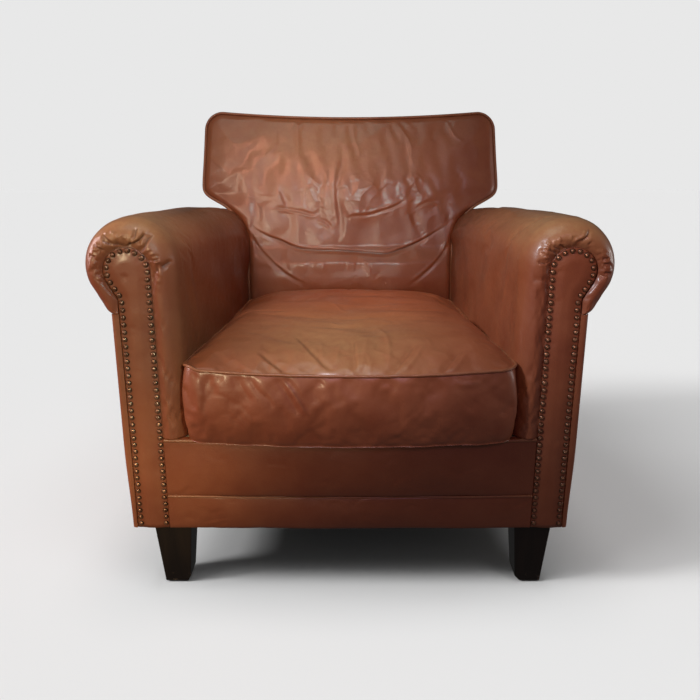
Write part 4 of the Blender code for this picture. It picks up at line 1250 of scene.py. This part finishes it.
def arm_facing(name, side, nails):
    """The leather front of the arm: a slightly full panel, drawn down by the nails."""
    rng = np.random.default_rng(41 + side)
    foot, head, stem = keyhole(HEAD_R, STEM_IN_U, STEM_OUT_U, 60)
    outline = np.vstack([foot, head, stem])
    flat = facing_chart(outline)
    to_nail = np.full(len(flat), 1e9)
    for nail in nails:
        to_nail = np.minimum(to_nail, np.hypot(*(flat - nail).T))
    to_edge = distance_to(outline, flat)
    full = 0.0022 * smooth((to_edge - 0.006) / 0.018)
    dimple = -0.0008 * np.exp(-((to_nail / 0.0058) ** 2))
    rounding = 0.0010 * (1 - np.sqrt(np.clip(1 - np.clip(1 - to_edge / 0.0025, 0, 1) ** 2, 0, 1)))
    y = -(full + dimple) + rounding + waves(flat, rng, 0.05, 0.0003)
    strokes = scattered(rng, 12, (0.325, 0.15), (0.362, 0.60), 10, 50, 0.018, 0.0006, 0.0025)
    height, dark = crease_field(flat, strokes)
    y = np.minimum(y - height, 0.003) + 0.0010
    grid = place(side, flat[:, 0], y, flat[:, 1]).reshape(FACING_ROWS, FACING_COLUMNS, 3)
    rim = flat[border(FACING_ROWS, FACING_COLUMNS)]
    rings = [place(side, rim[:, 0], np.full(len(rim), deep), rim[:, 1]) for deep in (0.006, 0.012)]
    points, faces = capped(grid, rings)
    # painted shade round each nail, along the facing's edge and over its hidden sides, as well as in its
    # creases
    dark = np.maximum(dark, 0.60 * np.exp(-((to_nail / 0.0052) ** 4)))
    dark = np.maximum(dark, 0.3 * np.exp(-((to_edge / 0.0012) ** 2)))
    dark = np.r_[dark, np.full(len(points) - len(flat), 0.6)]
    piece(name + "_arm_facing_cover", [name + "_arm_facing"], points, faces, BODY, crease=dark, rub=0.0)


def nail_rows(name, side, nails):
    """Domed nail heads, each knocked in a little differently."""
    rng = np.random.default_rng(51 + side)
    angles = np.linspace(0, 2 * math.pi, NAIL_SIDES, endpoint=False)
    rings = len(NAIL_DOME)
    index = np.arange(rings * NAIL_SIDES).reshape(rings, NAIL_SIDES)
    tip_index = rings * NAIL_SIDES
    faces = []
    for a, b in zip(index[:-1], index[1:]):
        faces += between(a, b)
    faces += [[int(b), tip_index, int(a)] for a, b in zip(index[-1], np.roll(index[-1], -1))]
    faces.append(index[0].tolist())
    parts = []
    for u, z in nails:
        radius = NAIL_R * rng.uniform(0.95, 1.04)
        tall = NAIL_TALL * rng.uniform(0.9, 1.1)
        tilt = rng.normal(0, 0.07, 2)
        du, dz = rng.normal(0, 0.00025, 2)
        points = []
        for r, h, _ in NAIL_DOME:
            a = radius * r * np.cos(angles)
            b = radius * r * np.sin(angles)
            deep = -tall * h + a * tilt[0] + b * tilt[1] + 0.0008
            points.append(place(side, u + du + a, deep, z + dz + b))
        points.append(place(side, np.array([u + du]), np.array([-tall + 0.0008]), np.array([z + dz])))
        parts.append((np.vstack(points), faces))
    points, faces = joined(parts)
    if side > 0:
        faces = [face[::-1] for face in faces]
    # tarnish and painted shade, strongest at the rim where the head meets the leather
    tarnish = np.r_[np.repeat([rim_dark for _, _, rim_dark in NAIL_DOME], NAIL_SIDES), 0.0]
    piece(name + "_nails", [name + "_nail_trim"], points, faces, BRASS, tarnish=np.tile(tarnish, len(nails)))


def outside_arm(name, side):
    """The flat outer panel of an arm, turned over the front edge."""
    rng = np.random.default_rng(61 + side)
    top, bend = ARM_PANEL_TOP, 0.007
    angles = np.radians(np.linspace(0, 90, 8))
    turned_u = np.r_[PANEL_U - 0.0088, PANEL_U - bend + bend * np.sin(angles)]
    turned_y = np.r_[0.0, bend - bend * np.cos(angles)]
    share = np.linspace(0, 1, 120)[1:]
    low_end = rear(BODY_BOTTOM, ARM_REAR_INSET)
    high_end = float(rear_end(np.array([top]), ARM_REAR_INSET)[0])
    grid = []
    for k in np.linspace(0, 1, 70):
        end = low_end + (high_end - low_end) * k
        y = np.r_[turned_y, bend + (end - bend) * share]
        u = np.r_[turned_u, np.full(len(share), PANEL_U)] + 0.0040 * smooth(k / 0.4)
        drop = arm_drop(y, np.full_like(y, top)) * k
        grid.append(place(side, u, y, BODY_BOTTOM + (top - BODY_BOTTOM) * k + drop))
    grid = np.stack(grid)
    flat = grid[..., 1:].reshape(-1, 2)
    back = grid.reshape(-1, 3)[border(*grid.shape[:2])]
    back[:, 0] = side * (PANEL_U - 0.0090 - SPLAY * (back[:, 1] - FRONT))
    back[:, 1] = np.maximum(back[:, 1], FRONT + 0.0005)
    points, faces = capped(grid, [back])
    strokes = scattered(rng, 20, (FRONT + 0.05, 0.18), (FRONT + 0.62, 0.48), 60, 50, 0.09, 0.0006, 0.007)
    height, dark = crease_field(flat, strokes)
    full = 0.0022 * np.sin(math.pi * np.clip((flat[:, 1] - 0.13) / 0.38, 0, 1))
    height += waves(flat, rng, 0.20, 0.0012) + full
    height *= smooth((flat[:, 0] - FRONT - 0.01) / 0.03) * smooth((flat[:, 1] - BODY_BOTTOM) / 0.012)
    points = pushed_out(points, faces, height)
    # painted shade in the panel's creases
    piece(name + "_outside_arm_cover", [name + "_outside_arm"], points, faces, BODY, sharp=60,
          crease=dark, rub=0.05)


# ---- front covers ---------------------------------------------------------

def front_cover(name, node, low, high, bulge, welt_radius, seed):
    """A panel between the facings, a little full, with a welt along its top edge."""
    rng = np.random.default_rng(seed)
    nx, nz = 180, 44
    s = np.linspace(-1, 1, nx)[None, :]
    k = np.linspace(0, 1, nz)[:, None]
    z = low + (high - low) * k + 0 * s
    x = COVER_HALF * s + 0 * k
    y = -bulge * (1 - s ** 2) * (0.35 + 0.65 * np.sin(math.pi * k) ** 0.7)
    y = y + 0.004 * (1 - np.sqrt(np.clip(1 - np.clip((k - 0.93) / 0.07, 0, 1) ** 2, 0, 1)))
    flat = np.stack([x.ravel(), z.ravel()], axis=-1)
    strokes = scattered(rng, 26, (-0.3, low), (0.3, high), 5, 25, 0.06, 0.0007, 0.004)
    height, dark = crease_field(flat, strokes)
    height += waves(flat, rng, 0.12, 0.0010)
    fade = smooth((1 - np.abs(flat[:, 0]) / COVER_HALF) / 0.03)
    grid = middle(flat[:, 0], y.ravel() - height * fade, flat[:, 1]).reshape(nz, nx, 3)
    rim = grid.reshape(-1, 3)[border(nz, nx)]
    rim[:, 1] = FRONT + 0.012
    points, faces = capped(grid, [rim])
    # painted shade along the seam at the panel's lower edge, and in its creases
    edge = np.exp(-(((flat[:, 1] - low) / 0.004) ** 2))
    piece(name, [node], points, faces, BODY, sharp=70, crease=np.maximum(dark * fade, 0.5 * edge), rub=0.0)

    x = np.linspace(-COVER_HALF, COVER_HALF, 260)
    share = x / COVER_HALF
    lift = waves(np.stack([x, x * 0], axis=-1), rng, 0.12, 0.0006)
    path = middle(x, -bulge * (1 - share ** 2) * 0.36 - 0.0004, high - welt_radius * 0.6 + lift)
    piping(name + "_welt", path, BODY, welt_radius)


def outside_back_side(count):
    """Right edge of the outside back: up the arm's panel, round its roll and up the ear."""
    side, _ = back_side()
    roll = np.vstack([[(PANEL_U, ARM_PANEL_TOP)], rounded(UNDER[:3], 2)[::-1],
                      arc(ROLL_U, ROLL_Z, ROLL_R, ROLL_END, 122, 40)])
    y = rear_end(roll[:, 1], 0.0)
    arm_edge = np.stack([roll[:, 0] - SPLAY * y, roll[:, 1] + arm_drop(y, roll[:, 1])], axis=-1)
    foot = (PANEL_U - SPLAY * float(rear(BODY_BOTTOM)), BODY_BOTTOM)
    return resample(np.vstack([[foot], arm_edge, [(0.2545, 0.5900)], side[side[:, 1] > 0.600]]), count)


def outside_back():
    rng = np.random.default_rng(71)
    nz, nx = 150, 120
    right = outside_back_side(nz)
    left = mirrored(right)
    top_edge = back_top_edge(back_side()[1], nx)
    chart = coons(level_line(*right[0], nx), right, top_edge, left)
    # rows run level across the middle and turn round the arms' rolls only at the sides
    level = np.linspace(right[0][1], right[-1][1], nz)
    inner = 1 - smooth((np.abs(np.linspace(-1, 1, nx)) - 0.55) / 0.45)
    chart[..., 1] += (level - right[:, 1])[:, None] * inner[None, :]
    flat = chart.reshape(-1, 2)
    grid = leaning(flat[:, 0], flat[:, 1], 0.0).reshape(nz, nx, 3)
    rim = flat[border(nz, nx)]
    points, faces = capped(grid, [leaning(rim[:, 0], rim[:, 1], OUTSIDE_THICK)])
    height = waves(flat, rng, 0.22, 0.0012) + 0.0007 * crumple(flat, 0.09, 2.2)
    to_edge = [np.minimum(np.arange(count), np.arange(count)[::-1]) for count in (nz, nx)]
    height *= smooth(np.minimum(to_edge[0][:, None], to_edge[1][None, :]) / 6.0).ravel()
    points = pushed_out(points, faces, height)
    round_edge = np.vstack([left, top_edge[1:-1], right[::-1]])
    cord = resample(leaning(round_edge[:, 0], round_edge[:, 1], 0.0035), 900)
    piping("outside_back_piping", cord, BODY, 0.0026, sides=8)
    piece("outside_back_cover", ["outside_back"], points, faces, BODY, sharp=60, crease=0.0, rub=0.05)


# ---- carried-over frame parts ---------------------------------------------

def dress_frame():
    finishes = {
        "frame_wood": wood("beech", (0.42, 0.27, 0.15), (0.60, 0.43, 0.27), 0.62, 55.0),
        "plywood": wood("plywood", (0.50, 0.36, 0.21), (0.64, 0.49, 0.32), 0.68, 90.0),
        "foot_wood": DARK_WOOD,
        "steel": metal("spring_steel", (0.28, 0.28, 0.28), (0.52, 0.52, 0.52), 0.36),
        "glide_plastic": nylon("glide_nylon"),
        "webbing": woven("elastic_webbing", (0.13, 0.12, 0.10), (0.05, 0.045, 0.04), 500.0),
        "deck_burlap": woven("burlap", (0.50, 0.40, 0.25), (0.30, 0.23, 0.13), 300.0),
        "dust_cloth": woven("dust_cloth", (0.045, 0.045, 0.045), (0.02, 0.02, 0.02), 900.0),
    }
    slots = {part["node"]: part["material_slot"] for part in frame["record"]["subparts"]}
    for node, made in frame["nodes"].items():
        if slots.get(node) in finishes:
            made.data.materials.clear()
            made.data.materials.append(finishes[slots[node]])


# ---- floor, light and camera ----------------------------------------------

PAPER = 0.807          # how bright the empty set looks, as a linear value
AMBIENT = 0.07         # light from all round
FLOOR_ALBEDO = 0.80


def collect(name, members):
    """A collection that a light can be linked to."""
    group = bpy.data.collections.new(name)
    for member in members:
        group.objects.link(member)
    return group


def floor():
    mesh = make_mesh("floor", [(-9, -9, 0), (9, -9, 0), (9, 9, 0), (-9, 9, 0)], [[0, 1, 2, 3]])
    n = Nodes("pale_floor")
    n.finish((FLOOR_ALBEDO, FLOOR_ALBEDO, FLOOR_ALBEDO, 1.0), 0.9)
    n.shader.inputs["Specular IOR Level"].default_value = 0.0
    mesh.materials.append(n.material)
    made = bpy.data.objects.new("floor", mesh)
    made.visible_diffuse = False
    made.visible_glossy = False
    bpy.context.scene.collection.objects.link(made)
    return made


def aimed(name, data, at, towards, receivers):
    """A lamp at a place, turned to another, that lights only one collection."""
    made = bpy.data.objects.new(name, data)
    made.location = at
    made.rotation_mode = "QUATERNION"
    made.rotation_quaternion = (Vector(towards) - Vector(at)).to_track_quat("-Z", "Y")
    bpy.context.scene.collection.objects.link(made)
    made.light_linking.receiver_collection = receivers
    return made


def soft_box(name, at, towards, size, watts, colour, receivers):
    data = bpy.data.lights.new(name, "AREA")
    data.shape = "RECTANGLE"
    data.size, data.size_y = size
    data.energy = watts
    data.color = colour
    return aimed(name, data, at, towards, receivers)


def spot(name, at, towards, size, watts, colour, receivers):
    data = bpy.data.lights.new(name, "SPOT")
    cone, data.spot_blend, data.shadow_soft_size = size
    data.spot_size = math.radians(cone)
    data.energy = watts
    data.color = colour
    return aimed(name, data, at, towards, receivers)


# the floor's own light: (direction it comes from, angle across, share)
FLOOR_LIGHT = [
    ((-0.80, -0.20, 0.55), 12, 0.203),
    ((-0.58, -0.23, 0.78), 30, 0.203),
    ((-0.58, -0.23, 0.78), 70, 0.060),
    ((0.0, 0.0, 1.0), 25, 0.192),
    ((0.3, -0.4, 0.86), 30, 0.096),
]


def floor_suns(receivers):
    """Even light for the floor, which casts the chair's soft shadow to the right."""
    whole = (PAPER / FLOOR_ALBEDO - AMBIENT) * math.pi / sum(share for _, _, share in FLOOR_LIGHT)
    for k, (source, angle, share) in enumerate(FLOOR_LIGHT):
        data = bpy.data.lights.new("floor_sun", "SUN")
        data.angle = math.radians(angle)
        data.energy = whole * share * Vector(source).length / source[2]
        aimed("floor_sun_" + str(k), data, source, (0, 0, 0), receivers)


def studio_world():
    world = bpy.data.worlds.new("studio")
    bpy.context.scene.world = world
    world.use_nodes = True
    tree = world.node_tree
    background = tree.nodes["Background"]
    seen = tree.nodes.new("ShaderNodeLightPath").outputs["Is Camera Ray"]
    level = tree.nodes.new("ShaderNodeMapRange")
    level.inputs["To Min"].default_value = AMBIENT
    level.inputs["To Max"].default_value = PAPER
    tree.links.new(seen, level.inputs["Value"])
    tree.links.new(level.outputs["Result"], background.inputs["Strength"])
    background.inputs["Color"].default_value = (1.0, 1.0, 1.0, 1.0)


# what a lamp may light: the pieces whose names begin in these ways
RECEIVERS = {
    "chair": ("",),
    "low_parts": ("left_", "seat", "front_"),
    "back_parts": ("back_cushion", "back_boxing"),
    "seat_parts": ("seat",),
    "right_parts": ("right_",),
    "left_parts": ("left_",),
    "rear_parts": ("outside_back", "back_boxing", "left_outside", "right_outside"),
    "far_from_right": ("left_", "seat", "front_", "outside_back"),
    "low_left_parts": ("left_", "front_"),
}

# (kind, name, place, what it is turned to, size, watts, colour, what it lights); the size of a box
# is its width and height, and that of a spot is its cone in degrees, its blend and its radius
LAMPS = [
    (soft_box, "left", (-2.2, -0.3, 1.2), (0, 0, 0.4),
     (1, 1), 35, (1.0, 0.80, 0.80), "far_from_right"),
    (soft_box, "top", (-0.3, FRONT - 0.2, 2.2), (0, 0, 0.4),
     (1, 1), 5.5, (0.7, 1.0, 0.9), "chair"),
    (soft_box, "front", (0.05, FRONT - 2.2, 1.85), (0, 0.3, 0.5),
     (1.1, 0.5), 5, (1.0, 0.5, 0.8), "chair"),
    # the edge of this one crosses the front of the seat
    (spot, "low", (-0.9, FRONT - 1.6, 0.95), (-0.50, FRONT, 0.645),
     (36.4, 0.22, 0.15), 50, (1.0, 0.82, 0.50), "low_parts"),
    (spot, "back", (0, FRONT - 2.0, 1.8), (-0.03, 0.2, 0.62),
     (16, 1.0, 0.15), 50, (0.66, 1.0, 0.94), "back_parts"),
    (spot, "back_left", (-1.1, FRONT - 2.0, 1.7), (-0.26, 0.2, 0.72),
     (16, 1.0, 0.35), 90, (1.0, 0.76, 0.56), "back_parts"),
    (spot, "back_corner", (-1.33, -1.35, 1.42), (-0.27, 0.2, 0.77),
     (6, 1.0, 0.2), 40, (0.9, 1.0, 0.95), "back_parts"),
    (spot, "back_low", (-0.4, FRONT - 1.5, 1.0), (-0.09, 0.2, 0.485),
     (8.5, 1.0, 0.25), 100, (1.0, 0.93, 0.70), "back_parts"),
    (spot, "back_top", (-0.5, FRONT - 1.4, 2.1), (-0.05, 0.2, 0.76),
     (14, 1.0, 0.3), 96, (1.0, 0.40, 0.26), "back_parts"),
    (spot, "seat", (-0.2, FRONT - 1.0, 1.9), (0.04, FRONT + 0.20, 0.45),
     (22, 0.9, 0.1), 72, (0.88, 0.88, 1.0), "seat_parts"),
    (spot, "seat_rear", (-0.1, FRONT - 1.2, 2.0), (0.0, FRONT + 0.45, 0.45),
     (14, 1.0, 0.1), 105, (1.0, 0.72, 0.46), "seat_parts"),
    (spot, "right_arm", (-0.3, FRONT - 1.8, 1.3), (0.36, FRONT, 0.60),
     (14, 1.0, 0.1), 42, (1.0, 0.70, 0.54), "right_parts"),
    (spot, "right_side", (-1.2, FRONT - 0.8, 1.5), (0.28, FRONT + 0.2, 0.5),
     (22, 1.0, 0.12), 138, (0.82, 0.90, 1.0), "right_parts"),
    (spot, "left_arm", (0.6, FRONT - 1.6, 1.3), (-0.30, FRONT, 0.42),
     (12, 1.0, 0.1), 74, (0.50, 1.0, 0.98), "left_parts"),
    (spot, "left_roll", (0.1, FRONT - 0.9, 1.9), (-0.31, FRONT + 0.08, 0.66),
     (8, 1.0, 0.1), 75, (1.0, 0.92, 1.0), "left_parts"),
    (spot, "left_low", (-0.3, FRONT - 1.6, 0.9), (-0.34, FRONT, 0.20),
     (14, 1.0, 0.1), 43, (1.0, 0.94, 0.52), "low_left_parts"),
    (soft_box, "rear", (0.6, 3.0, 0.45), (0, 0.3, 0.4),
     (2.4, 0.6), 34, (1.0, 0.98, 0.95), "rear_parts"),
    (soft_box, "right", (2.2, -0.1, 0.7), (0.4, 0, 0.35),
     (1.0, 0.6), 9, (1.0, 0.98, 0.95), "chair"),
]


def light_the_set(ground):
    studio_world()
    floor_suns(collect("ground", [ground]))
    chair = [made for made in bpy.context.scene.objects if made.type == "MESH" and made != ground]
    groups = {name: collect(name, [made for made in chair if made.name.startswith(starts)])
              for name, starts in RECEIVERS.items()}
    for make, name, at, towards, size, watts, colour, lit in LAMPS:
        make(name, at, towards, size, watts, colour, groups[lit])


LENS, SENSOR = 38.16, 36.0
CAMERA_AHEAD, CAMERA_HEIGHT, CAMERA_PITCH = 1.156, 0.796, 73.5


def camera():
    data = bpy.data.cameras.new("camera")
    data.lens = LENS
    data.sensor_width = SENSOR
    data.clip_start, data.clip_end = 0.05, 60.0
    made = bpy.data.objects.new("camera", data)
    made.location = (0.0, FRONT - CAMERA_AHEAD, CAMERA_HEIGHT)
    made.rotation_euler = (math.radians(CAMERA_PITCH), 0.0, 0.0)
    bpy.context.scene.collection.objects.link(made)
    bpy.context.scene.camera = made


def main():
    seat_cushion()
    back_cushion()
    back_boxing()
    outside_back()
    nails = nail_places()
    for name, side in SIDES:
        arm_pad(name, side)
        arm_facing(name, side, nails)
        nail_rows(name, side, nails)
        outside_arm(name, side)
    front_cover("front_rail_panel", "front_rail_cover", BAND_TOP + 0.0006, RAIL_TOP, 0.016, 0.0030, 81)
    front_cover("front_lower_band_panel", "front_lower_band", BODY_BOTTOM, BAND_TOP, 0.010, 0.0022, 82)
    dress_frame()
    light_the_set(floor())
    camera()
    bpy.context.scene.view_settings.view_transform = "Standard"


main()
